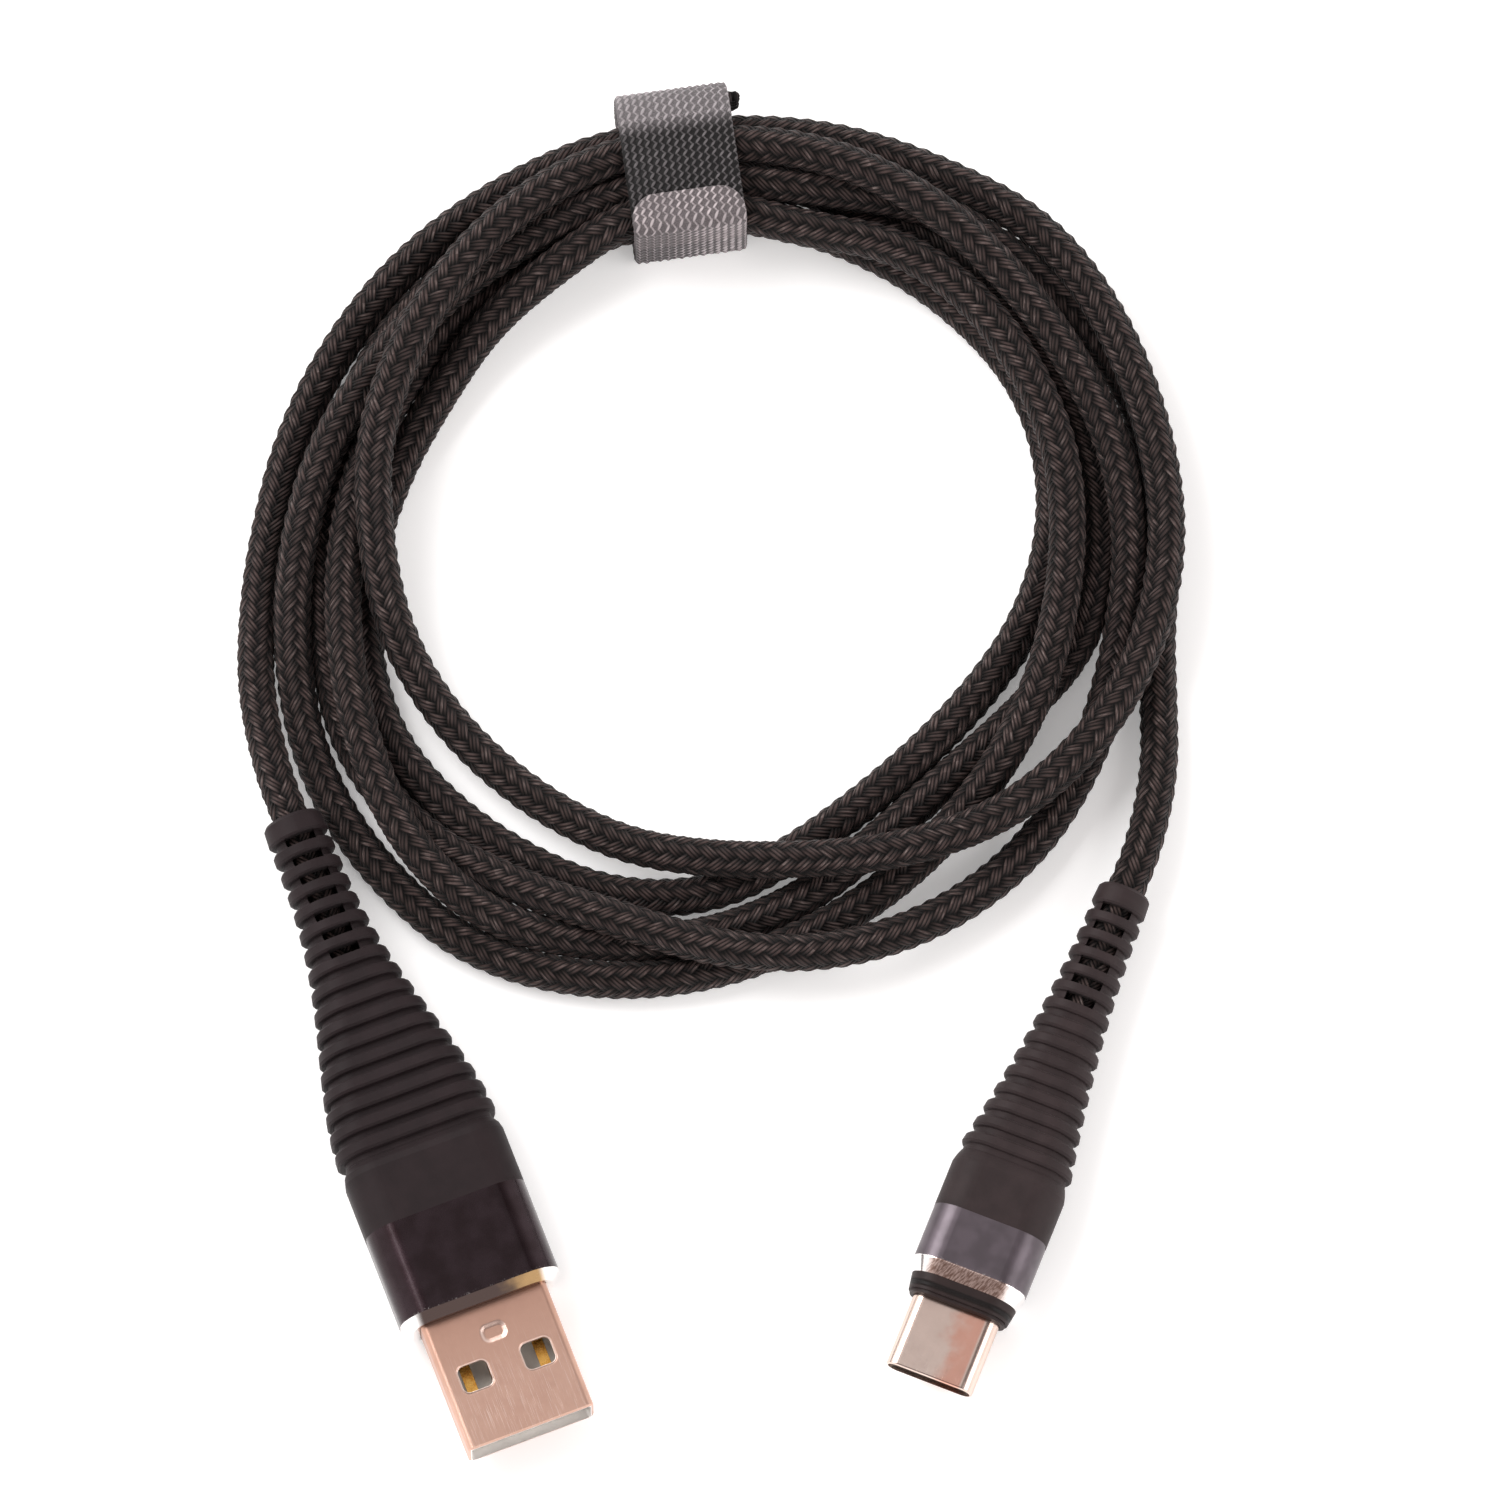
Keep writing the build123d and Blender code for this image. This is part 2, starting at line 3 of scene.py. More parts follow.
import bpy
import numpy as np
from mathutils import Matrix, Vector


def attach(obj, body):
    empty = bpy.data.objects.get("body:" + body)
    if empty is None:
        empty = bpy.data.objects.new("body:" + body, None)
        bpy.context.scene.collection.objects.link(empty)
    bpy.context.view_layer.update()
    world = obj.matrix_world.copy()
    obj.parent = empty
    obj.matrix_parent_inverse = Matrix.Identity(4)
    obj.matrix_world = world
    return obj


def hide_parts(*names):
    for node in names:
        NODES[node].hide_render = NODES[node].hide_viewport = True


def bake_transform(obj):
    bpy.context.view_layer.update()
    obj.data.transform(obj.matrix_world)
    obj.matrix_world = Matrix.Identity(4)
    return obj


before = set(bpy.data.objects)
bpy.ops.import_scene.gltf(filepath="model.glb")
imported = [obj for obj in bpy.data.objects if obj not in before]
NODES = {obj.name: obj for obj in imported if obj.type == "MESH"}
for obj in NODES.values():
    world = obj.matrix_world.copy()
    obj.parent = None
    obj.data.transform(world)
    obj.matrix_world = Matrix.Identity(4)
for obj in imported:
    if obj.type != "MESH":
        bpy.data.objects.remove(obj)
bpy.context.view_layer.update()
MM = 0.001

# ---- camera ----------------------------------------------------------------

VIEW_WIDTH = 0.1364  # what the picture shows across, at the target
CAMERA_DISTANCE = 1.6
CAMERA_ELEVATION = math.radians(74)
TARGET = Vector((0.0039, 0.0031, 0.0))
back = Vector((0, -math.cos(CAMERA_ELEVATION), math.sin(CAMERA_ELEVATION)))
camera = bpy.data.objects.new("camera", bpy.data.cameras.new("camera"))
camera.data.lens = camera.data.sensor_width * CAMERA_DISTANCE / VIEW_WIDTH
camera.data.clip_start, camera.data.clip_end = 0.1, 10
camera.location = TARGET + back * CAMERA_DISTANCE
camera.rotation_euler = (-back).to_track_quat("-Z", "Y").to_euler()
bpy.context.scene.collection.objects.link(camera)
bpy.context.scene.camera = camera
bpy.context.scene.view_settings.view_transform = "Standard"

# ---- cord: its route -------------------------------------------------------

CORD_D = 3.4
CORD_R = CORD_D / 2
COIL_X, COIL_Y = 0.7, 21.5

# The uncoiled stretches, from each boot to the coil, as part.py has them (mm).
RUN_USB_A = [(-37.64, -4.64, 3.95), (-39.42, 0.0, 3.95), (-41.2, 7.6, 3.3), (-41.1, 14.6, 2.5)]
RUN_USB_C = [
    (37.88, -11.18, 3.2),
    (39.7, -6.56, 3.2),
    (41.3, 0.6, 2.7),
    (40.9, 8.0, 2.2),
    (39.6, 14.0, 2.0),
]
# Inside each boot, back along the plug's axis.
INSIDE_USB_A = [(-27.6, -30.79, 3.95), (-30.83, -22.39, 3.95), (-34.42, -13.04, 3.95)]
INSIDE_USB_C = [(28.0, -36.3, 3.2), (31.3, -27.92, 3.2), (34.6, -19.55, 3.2)]

# The coil's turns, in order from the USB-A end: the radius (mm) of each turn every
# STATION degrees, from -X round through the tie (+Y), as the turns lie in the photograph.
# The first row is the end's way into the tie, and the last the other end's way out of it.
STATION = 15
RADII = [
    [41.1, 40.4, 39.7, 39.3, 39.1, 39.1],
    [40, 41, 41.4, 41.9, 41.4, 41.7, 41.9, 41.1, 39.5, 37.4, 34.2, 31.6, 30.4, 29.8, 29.1, 29.1, 29.8,
     30.8, 32.5, 33.3, 33.7, 34.7, 35.5, 36.5],
    [37.2, 37.2, 36.9, 37, 36.9, 37.2, 37.6, 38.8, 39.7, 41, 41.2, 40.5, 39, 37.6, 37.5, 38.4, 38.2,
     36.4, 35, 34.1, 34.7, 35.7, 35.9, 35.3],
    [35.1, 36.1, 37, 36.7, 36.6, 37.2, 37.7, 35.9, 32.6, 30.5, 30.9, 34.4, 37.2, 38.5, 40.2, 39.1,
     37.4, 35.3, 33.5, 33.7, 33.6, 33.6, 33, 32.5],
    [32.3, 32.5, 32.9, 32.8, 33.3, 32.7, 31.2, 29.5, 27.7, 27.2, 27.6, 29.4, 33, 34.6, 36.2, 36.8, 36,
     34.3, 32.7, 32, 31.6, 31, 30.8, 29.7],
    [28.9, 30.9, 33.2, 33.5, 33.1, 33, 32.4, 32.4, 32.5, 33.6, 35.6, 37.5, 40.2, 42.4, 44, 43.6, 42.6,
     40.2, 37.9, 36.6, 34.5, 34, 34, 32.6],
    [32.5, 34.8, 36.9, 40.2, 42.2, 42.1, 40.5],
]
# How high each of those places starts (mm), which settles what lies on what.
HEIGHTS = [
    [2, 1.8, 1.7, 1.7, 2.2, 3],
    [3, 3.2, 3.6, 3.6, 4.2, 4.8, 5.2, 6, 6.5, 6.5, 6.2, 5.2, 4.5, 3.2, 2, 2, 3.5, 5.5, 7.2, 8, 8, 7.8,
     7, 6],
    [6, 6, 5.2, 5, 5, 4.6, 4, 2.6, 1.9, 1.8, 3, 4.5, 5, 3.8, 2.2, 1.7, 1.7, 1.7, 1.7, 1.7, 1.7, 1.7, 2,
     2.9],
    [2.9, 2.2, 1.7, 1.7, 1.7, 1.7, 1.7, 1.7, 1.7, 1.7, 1.7, 1.9, 3, 4.6, 5.2, 5.2, 5.2, 5.2, 4.6, 3.2,
     2, 1.7, 2, 2.9],
    [2.9, 2.2, 1.7, 1.7, 1.7, 1.7, 1.7, 1.7, 1.7, 1.7, 1.7, 1.7, 1.7, 1.7, 1.7, 1.7, 1.7, 1.7, 2, 2.6,
     3.4, 4.4, 5.2, 6],
    [6, 5.6, 5, 5, 5, 5, 5, 5, 5, 3.6, 2.2, 1.7, 1.7, 1.7, 1.7, 1.7, 2.2, 2.8, 3.4, 4.2, 4.8, 5, 5.4,
     6],
    [6, 5, 3, 1.9, 1.7, 1.7, 1.8],
]


def coil_points():
    """Control points of the turns, 24 to a turn."""
    radius, height = np.concatenate(RADII), np.concatenate(HEIGHTS)
    angle = np.radians(np.arange(len(radius)) * STATION)
    x, y = COIL_X - radius * np.cos(angle), COIL_Y + radius * np.sin(angle)
    return np.stack([x, y, height], axis=1)


# The tie's middle and the way it faces; its width, thickness, half depth and top (mm).
STRAP_X, STRAP_Y, STRAP_HEADING = -2.4, 56.5, math.radians(98)
STRAP_WIDTH, STRAP_T, STRAP_HALF, STRAP_TOP = 10.4, 1.1, 6.9, 9.1
OUT = np.array([math.cos(STRAP_HEADING), math.sin(STRAP_HEADING)])
ALONG = np.array([OUT[1], -OUT[0]])


def weights(n, per_span):
    """Quadratic B-spline weights of n control points, at per_span points on each span."""
    rows = []
    for span in range(n - 2):
        for t in np.arange(per_span) / per_span:
            row = np.zeros(n)
            row[span : span + 3] = (1 - t) ** 2 / 2, 0.5 + t - t * t, t * t / 2
            rows.append(row)
    return np.array(rows)


SPACING = CORD_D + 0.02  # between the middles of strands that touch
START_LIFT = 1.8  # the turns start this many times as high above the table
ROUNDS, SLOW_ROUNDS = 260, 60
FALL, SLOW_FALL = 0.10, 0.02  # each round
STRAIGHTEN, STRAIGHTEN_FLAT = 0.10, 0.15  # towards the neighbours' middle, and its share across
RETURN = 0.06  # each round, back towards its place seen from above
PUSHES, PUSH_GAIN = 2, 1.3
TIE_ALONG, TIE_ACROSS = 8.5, 9  # how far from its middle the tie gathers the turns
BUNDLE_ACROSS, BUNDLE_HEIGHT = (-3.5, 4.2), (2.9, 6.2)  # where it keeps their middles


def settle(control, fixed, per_span=7):
    """Drops the turns onto the table and onto each other, a diameter apart."""
    basis = weights(len(control), per_span)
    share = basis.sum(0)[:, None] + 1e-9
    home = control.copy()
    point = control.copy()
    point[:, 2] = CORD_R + (home[:, 2] - CORD_R) * START_LIFT
    free = np.ones(len(point), bool)
    free[:fixed], free[-fixed:] = False, False
    point[~free] = home[~free]
    along_index = np.arange(len(basis))
    apart = np.abs(along_index[:, None] - along_index[None]) > 3 * per_span
    pull = (STRAIGHTEN_FLAT, STRAIGHTEN_FLAT, 1)
    for k in range(ROUNDS):
        point[free, 2] -= FALL if k < ROUNDS - SLOW_ROUNDS else SLOW_FALL
        middle = (point[:-2] + point[2:]) / 2
        point[1:-1] += np.where(free[1:-1, None], STRAIGHTEN * (middle - point[1:-1]) * pull, 0)
        point[free, :2] += RETURN * (home[free, :2] - point[free, :2])
        for _ in range(PUSHES):
            line = basis @ point
            gap = line[:, None] - line[None]
            far = np.sqrt((gap**2).sum(2))
            i, j = np.nonzero(apart & (far < SPACING))
            push = np.zeros_like(line)
            count = np.ones(len(line))
            away = gap[i, j] / np.maximum(far[i, j], 1e-6)[:, None]
            np.add.at(push, i, away * (SPACING - far[i, j])[:, None] * 0.5)
            np.add.at(count, i, 1)
            push /= np.maximum(count - 1, 1)[:, None] ** 0.5
            moved = (basis.T @ push) / share
            point[free] += moved[free] * PUSH_GAIN
        flat = point[:, :2] - (STRAP_X, STRAP_Y)
        u, v = flat @ OUT, flat @ ALONG
        tied = (np.abs(v) < TIE_ALONG) & (np.abs(u) < TIE_ACROSS) & free
        u = np.clip(u, *BUNDLE_ACROSS)
        point[tied, :2] = (STRAP_X, STRAP_Y) + u[tied, None] * OUT + v[tied, None] * ALONG
        point[tied, 2] = np.clip(point[tied, 2], *BUNDLE_HEIGHT)
        point[free, 2] = np.maximum(point[free, 2], CORD_R + 0.05)
    return point


route = INSIDE_USB_A + RUN_USB_A + coil_points().tolist() + RUN_USB_C[::-1] + INSIDE_USB_C[::-1]
route = settle(np.array(route), fixed=5)

curve = bpy.data.curves.new("route", "CURVE")
curve.dimensions = "3D"
curve.resolution_u = 16
spline = curve.splines.new("NURBS")
spline.points.add(len(route) - 1)
for point, place in zip(spline.points, route):
    point.co = (*(place * MM), 1)
spline.order_u = 3
spline.use_endpoint_u = True
route_object = bpy.data.objects.new("route", curve)
route_mesh = bpy.data.meshes.new_from_object(route_object)
line = np.array([v.co for v in route_mesh.vertices])
bpy.data.meshes.remove(route_mesh)
bpy.data.objects.remove(route_object)

# ---- cord: its braid -------------------------------------------------------

CARRIERS = 8  # bands of yarn each way round
BAND_PITCH = 1.55 * MM  # along the cord, between bands of one way
STEPS = 2  # mesh cells across one band
# How far the sleeve is turned round the cord at its start (radians), and the slow waves,
# each a size, rate and start, in which it lies turned this way and that from there.
ROLL_START = 0.52
ROLL_WAVES = [(0.5, 0.0021, 0.0), (0.4, 0.0057, 1.0)]
BRAID_LOW, BRAID_HIGH = 1.57 * MM, 1.79 * MM  # radius between bands, and on a crest


def even(points, step):
    """The line again, with points a fixed step apart."""
    along = np.concatenate([[0], np.cumsum(np.linalg.norm(np.diff(points, axis=0), axis=1))])
    count = int(along[-1] / step)
    at = np.arange(count + 1) * step
    return np.stack([np.interp(at, along, points[:, k]) for k in range(3)], axis=1)


def carried_frames(points):
    """Tangent and two normals along the line, turned as little as possible."""
    tangent = np.gradient(points, axis=0)
    tangent /= np.linalg.norm(tangent, axis=1)[:, None]
    first = np.empty_like(points)
    first[0] = np.cross(tangent[0], (0, 0, 1))
    first[0] /= np.linalg.norm(first[0])
    for i in range(1, len(points)):
        n = first[i - 1] - tangent[i] * (first[i - 1] @ tangent[i])
        first[i] = n / np.linalg.norm(n)
    return tangent, first, np.cross(tangent, first)


def band_height(a, b):
    """0 between bands to 1 on the crest of a float, where each band passes over two and under two."""
    i, j = np.floor(a + 1e-6), np.floor(b + 1e-6)
    fa, fb = a - i, b - j
    m = np.mod(i - j, 4)
    over = m < 1.5
    across = np.where(over, fa, fb)
    t = np.select([m < 0.5, m < 1.5, m < 2.5], [(fb + 1) / 2, fb / 2, fa / 2], (fa + 1) / 2)
    return np.sin(np.pi * across) ** 0.5 * np.sin(np.pi * t) ** 0.45


def braid():
    """The sleeve's points, loops, face sizes and UVs, and the middle line that it follows."""
    centre = even(line, BAND_PITCH / (2 * STEPS))
    _, side, up = carried_frames(centre)
    rings, slots = len(centre), CARRIERS * 2 * STEPS
    ring = np.repeat(np.arange(rings), slots // 2)
    k = np.tile(np.arange(slots // 2) * 2, rings) + ring % 2
    a, b = (ring + k) / (2 * STEPS), (ring - k) / (2 * STEPS)
    height = band_height(a, b)
    ends = np.minimum(ring, rings - 1 - ring)
    radius = BRAID_LOW + (BRAID_HIGH - BRAID_LOW) * height * np.clip(ends / 3, 0, 1)
    roll = ROLL_START + sum(size * np.sin(ring * rate + start) for size, rate, start in ROLL_WAVES)
    angle = 2 * math.pi * k / slots + roll
    place = centre[ring] + radius[:, None] * (
        np.cos(angle)[:, None] * side[ring] + np.sin(angle)[:, None] * up[ring]
    )
    # diamond cells: (ring, k), (ring+1, k+1), (ring+2, k), (ring+1, k-1)
    r0 = np.repeat(np.arange(rings - 2), slots // 2)
    k0 = np.tile(np.arange(slots // 2) * 2, rings - 2) + r0 % 2
    corner_rings = np.stack([r0, r0 + 1, r0 + 2, r0 + 1], axis=1)
    corner_k = np.stack([k0, k0 + 1, k0, k0 - 1], axis=1)
    quads = corner_rings * (slots // 2) + (np.mod(corner_k, slots) - corner_rings % 2) // 2
    uv = np.stack(
        [(corner_rings + corner_k) / (2 * STEPS), (corner_rings - corner_k) / (2 * STEPS)], axis=-1
    ).reshape(-1, 2)
    # each end is closed by triangles between its first two rings and a cap to the middle
    cap_faces, cap_uv, points = [], [], place
    half = slots // 2
    for ring_a, ring_b, flip in ((0, 1, False), (rings - 1, rings - 2, True)):
        middle = len(points)
        points = np.vstack([points, centre[ring_a]])
        first = ring_a * half + np.arange(half)
        other = ring_b * half + np.arange(half)
        lead = np.arange(half) if ring_a % 2 == 0 else (np.arange(half) + 1) % half
        next_first = first[(np.arange(half) + 1) % half]
        between = other[lead] if ring_a % 2 else other[np.arange(half)]
        teeth = np.stack([first, next_first, between], axis=1)
        caps = np.stack([next_first, first, np.full(half, middle)], axis=1)
        for triangles in (teeth, caps):
            if not flip:
                triangles = triangles[:, ::-1]
            cap_faces.append(triangles[:, ::-1])
            cap_uv.append(np.zeros((len(triangles) * 3, 2)))
    loops = np.concatenate([quads.ravel(), *[f.ravel() for f in cap_faces]])
    sizes = np.concatenate([np.full(len(quads), 4), *[np.full(len(f), 3) for f in cap_faces]])
    return points, loops, sizes, np.vstack([uv, *cap_uv]), centre


def mesh_object(name, points, loops, sizes, uv, uv_name):
    """A smooth-shaded mesh piece from arrays."""
    mesh = bpy.data.meshes.new(name)
    mesh.vertices.add(len(points))
    mesh.vertices.foreach_set("co", np.asarray(points, np.float32).ravel())
    mesh.loops.add(len(loops))
    mesh.loops.foreach_set("vertex_index", np.asarray(loops, np.int32))
    mesh.polygons.add(len(sizes))
    starts = np.concatenate([[0], np.cumsum(sizes)[:-1]])
    mesh.polygons.foreach_set("loop_start", np.asarray(starts, np.int32))
    mesh.update(calc_edges=True)
    mesh.validate()
    layer = mesh.uv_layers.new(name=uv_name)
    layer.data.foreach_set("uv", np.asarray(uv, np.float32).ravel())
    mesh.polygons.foreach_set("use_smooth", np.ones(len(mesh.polygons), bool))
    made = bpy.data.objects.new(name, mesh)
    bpy.context.scene.collection.objects.link(made)
    return made


points, loops, sizes, uv, cord_path = braid()
cord = mesh_object("braided_cord", points, loops, sizes, uv, "braid")

# ---- tie: one woven hook-and-loop strap, in the three lengths that fold --------

FABRIC_T = 0.95  # a little under the solid's, for the weave that stands proud of it
HALF, LOW, HIGH = STRAP_HALF - STRAP_T / 2, STRAP_T / 2, STRAP_TOP - STRAP_T / 2
FAR = HALF + 0.95  # the wall on the far side
TIP_Z = STRAP_TOP + 0.6  # the tab, which lies on the band
FACE, BACK = 0.8, 0.9  # how much of the thickness each side of the middle line has
WEAVE_RISE, LOOP_RISE = 0.16, 0.05  # how far the floats and the loops stand proud
RIM, END_RIM = 0.45, 0.4  # how far in the rounding of the sides and of the free end goes
TIP_CORNER = 2.4  # radius of the tab's corners
COLUMNS, SECTION_STEP = 96, 0.11  # mesh cells across the strap, and their length along it
WARP_PITCH, WEFT_PITCH = 0.66, 0.78  # between floats, across and along the strap
FLOAT_SLANT = 0.72  # radians
EDGE_WAVE, FRAY_RATE = 0.02, 23.0
UV_START = 50  # what the strap's UV map reads in its middle across, and at its start along
CREASE = 60.0  # where the strap creases before its far edge, as its UV map counts along it


def rounded(corners, radii, step):
    """Points a step apart along a line through corners, each turned with its own radius."""
    out = [np.array(corners[0], float)]
    for before, corner, after, radius in zip(corners, corners[1:], corners[2:], radii):
        before, corner, after = (np.array(p, float) for p in (before, corner, after))
        d_in, d_out = corner - before, after - corner
        d_in, d_out = d_in / np.linalg.norm(d_in), d_out / np.linalg.norm(d_out)
        turn = math.acos(float(np.clip(d_in @ d_out, -1, 1)))
        reach = radius * math.tan(turn / 2)
        start, end = corner - d_in * reach, corner + d_out * reach
        w = math.cos(turn / 2)
        for t in np.linspace(0, 1, 17):
            # a circular arc as a rational quadratic
            b = ((1 - t) ** 2, 2 * w * t * (1 - t), t * t)
            out.append((b[0] * start + b[1] * corner + b[2] * end) / sum(b))
    out.append(np.array(corners[-1], float))
    out = np.array(out)
    along = np.concatenate([[0], np.cumsum(np.linalg.norm(np.diff(out, axis=0), axis=1))])
    at = np.linspace(0, along[-1], int(along[-1] / step) + 1)
    return np.stack([np.interp(at, along, out[:, k]) for k in range(2)], axis=1), at


# The whole strap's middle line in its section, outwards (u) and up (z) in mm, and the
# radius of each of its four bends.
STRAP_LINE = [
    (-5.6, HIGH + 0.02), (FAR, HIGH), (FAR, LOW), (-HALF, LOW), (-HALF, TIP_Z), (-3.05, TIP_Z)
]
STRAP_BENDS = [2.6, 2.6, 0.75, 0.75]
section, section_at = rounded(STRAP_LINE, STRAP_BENDS, SECTION_STEP)


def floats(x, y):
    """Height from 0 to 1 of the slanting floats of the weave, at x across and y along (mm)."""
    p = x / WARP_PITCH
    column = np.floor(p)
    q = y / WEFT_PITCH + column / 3
    a = (p - column - 0.5) * WARP_PITCH
    b = (q - np.floor(q) - 0.5) * WEFT_PITCH
    c, s = math.cos(FLOAT_SLANT), math.sin(FLOAT_SLANT)
    return np.exp(-(((a * c - b * s) / 0.13) ** 2) - ((a * s + b * c) / 0.34) ** 2)


def strap_piece(name, first, last, tip=0.0, sink=0.0, shift=0.0, fray=0.0):
    """A length of the strap from first to last (mm along it), woven outside, looped inside.

    tip is the radius of the corners of a free end, sink how far inside the loop the piece
    lies, shift how far it sticks out to one side, and fray how ragged its edges are.
    """
    keep = (section_at >= first - 1e-6) & (section_at <= last + 1e-6)
    line2, at = section[keep], section_at[keep]
    tangent = np.gradient(section, axis=0)[keep]
    tangent /= np.linalg.norm(tangent, axis=1)[:, None]
    normal = np.stack([-tangent[:, 1], tangent[:, 0]], axis=1)  # away from the bundle
    share = np.linspace(-1, 1, COLUMNS + 1)
    if tip:
        left = at[-1] - at
        inset = np.where(left < tip, tip - np.sqrt(np.maximum(tip**2 - (tip - left) ** 2, 0)), 0)
    else:
        inset = np.zeros(len(at))
    edge_wave = (EDGE_WAVE + fray) * np.sin(at * 2 * math.pi / WEFT_PITCH)
    half = STRAP_WIDTH / 2 - inset + edge_wave + fray * np.sin(at * FRAY_RATE)
    across = share[None] * half[:, None]
    rim = np.minimum(half[:, None] - np.abs(across), RIM) / RIM
    body = np.sqrt(np.maximum(1 - (1 - rim) ** 2, 0)) * FABRIC_T / 2
    if tip:
        end_rim = np.clip(left / END_RIM, 0, 1)[:, None]
        body = body * np.sqrt(np.maximum(1 - (1 - end_rim) ** 2, 0))
    weave = floats(across + UV_START, at[:, None] + UV_START + across * 0.04) * np.minimum(rim * 2, 1)
    loops_inside = floats(across * 1.7 + 80, at[:, None] * 1.9) * rim
    outer = body * FACE + weave * WEAVE_RISE
    inner = -body * BACK - loops_inside * LOOP_RISE

    def place(offset):
        u = line2[:, None, 0] + normal[:, None, 0] * (offset - sink)
        z = line2[:, None, 1] + normal[:, None, 1] * (offset - sink)
        x = STRAP_X + u * OUT[0] + (across + shift) * ALONG[0]
        y = STRAP_Y + u * OUT[1] + (across + shift) * ALONG[1]
        return np.stack([x, y, z + 0 * across], axis=-1).reshape(-1, 3)

    n, m = len(at), COLUMNS + 1
    points = np.vstack([place(outer), place(inner)]) * MM
    grid = np.arange(n * m).reshape(n, m)
    quads = np.stack([grid[:-1, :-1], grid[:-1, 1:], grid[1:, 1:], grid[1:, :-1]], -1).reshape(-1, 4)
    under = quads[:, ::-1] + n * m
    rim_line = np.concatenate([grid[0, :], grid[1:, -1], grid[-1, -2::-1], grid[-2:0:-1, 0]])
    rim_next = np.roll(rim_line, -1)
    sides = np.stack([rim_next, rim_line, rim_line + n * m, rim_next + n * m], axis=1)
    flat = np.stack([across + UV_START, at[:, None] + UV_START + 0 * across], axis=-1).reshape(-1, 2)
    flat = np.vstack([flat, flat])
    loops = np.concatenate([quads, under, sides]).ravel()
    return mesh_object(name, points, loops, np.full(len(loops) // 4, 4), flat[loops], "strap")


def nearest_station(along):
    """The distance along the strap, of those where the section has a point, nearest to this."""
    return section_at[np.argmin(np.abs(section_at - along))]


TAB, SIDE_LENGTH = 3.3, 5.4  # the flat of the tab, and what folds up between the two folds
strap_length = section_at[-1]
side_from = strap_length - (TIP_Z - LOW) - TAB - 0.4
band_length, side_end = nearest_station(side_from), nearest_station(side_from + SIDE_LENGTH)
tie_band = strap_piece("tie_band", 0, band_length)
tie_side = strap_piece("tie_side_flap", band_length, side_end)
tie_tip = strap_piece("tie_tip_flap", side_end, strap_length, tip=TIP_CORNER)
# the strap's other end, against the far wall inside the loop, a little out of line
tie_end = strap_piece("tie_inner_end", 13.3, 17.2, sink=0.95, shift=0.9, fray=0.11)

# ---- materials -------------------------------------------------------------


class Shader:
    """A material's node tree, built up one node at a time. Inputs are sockets or values."""

    def __init__(self, name):
        self.material = bpy.data.materials.new(name)
        self.material.use_nodes = True
        self.tree = self.material.node_tree
        self.bsdf = self.tree.nodes["Principled BSDF"]

    def put(self, socket, value):
        if isinstance(value, bpy.types.NodeSocket):
            self.tree.links.new(value, socket)
        elif isinstance(value, tuple) and len(value) == 3 and socket.type == "RGBA":
            socket.default_value = (*value, 1)
        else:
            socket.default_value = value

    def node(self, kind, inputs=(), **settings):
        made = self.tree.nodes.new("ShaderNode" + kind)
        for key, value in settings.items():
            setattr(made, key, value)
        for key, value in dict(inputs).items():
            self.put(made.inputs[key], value)
        return made

    def math(self, operation, *values, clamp=False):
        made = self.node("Math", operation=operation, use_clamp=clamp)
        for socket, value in zip(made.inputs, values):
            self.put(socket, value)
        return made.outputs[0]

    def vector(self, operation, *values):
        made = self.node("VectorMath", operation=operation)
        for socket, value in zip(made.inputs, values):
            self.put(socket, value)
        return made.outputs["Value" if operation == "DOT_PRODUCT" else "Vector"]

    def combine(self, x, y, z=0.0):
        return self.node("CombineXYZ", {0: x, 1: y, 2: z}).outputs[0]

    def mix(self, share, a, b):
        made = self.node("Mix", data_type="RGBA")
        self.put(made.inputs["Factor"], share)
        self.put(made.inputs[6], a)
        self.put(made.inputs[7], b)
        return made.outputs[2]

    def ramp(self, value, low, high, to_low=0.0, to_high=1.0):
        """value from low to high, as a smooth step from to_low to to_high."""
        names = ("From Min", "From Max", "To Min", "To Max")
        made = self.node("MapRange", interpolation_type="SMOOTHSTEP")
        self.put(made.inputs["Value"], value)
        for name, edge in zip(names, (low, high, to_low, to_high)):
            self.put(made.inputs[name], edge)
        return made.outputs[0]

    def noise(self, where, scale, detail=2.0, rough=0.5):
        made = self.node("TexNoise", {"Scale": scale, "Detail": detail, "Roughness": rough})
        self.put(made.inputs["Vector"], where)
        return made.outputs[0]

    def ellipse(self, x, y, half_x, half_y):
        """0 at the middle of an ellipse, 1 on its edge, and on from there as a square."""
        squares = [self.math("POWER", self.math("DIVIDE", way, half), 2.0)
                   for way, half in ((x, half_x), (y, half_y))]
        return self.math("ADD", *squares)

    def stretched(self, *ways):
        """A place for a texture drawn out by its own factor each way: (value, factor), ..."""
        scaled = [self.math("MULTIPLY", way, factor) if factor != 1 else way for way, factor in ways]
        return self.combine(*scaled)

    def millimetres(self):
        """The place on the object at rest, in mm."""
        place = self.node("TexCoord").outputs["Object"]
        return self.vector("MULTIPLY", place, (1000, 1000, 1000))

    def along(self, plug):
        """(across, up, along) in mm on a plug whose place and heading are given."""
        where = self.vector("SUBTRACT", self.millimetres(), plug["origin"])
        return [self.vector("DOT_PRODUCT", where, plug[axis]) for axis in ("x", "y", "z")]

    def bump(self, height, distance, strength=1.0, normal=None):
        made = self.node("Bump", {"Strength": strength, "Distance": distance, "Height": height})
        if normal is not None:
            self.put(made.inputs["Normal"], normal)
        return made.outputs[0]

    def finish(self, **sockets):
        """Sets the shader's own sockets, with _ for a space, and gives the material."""
        for key, value in sockets.items():
            self.put(self.bsdf.inputs[key.replace("_", " ")], value)
        return self.material


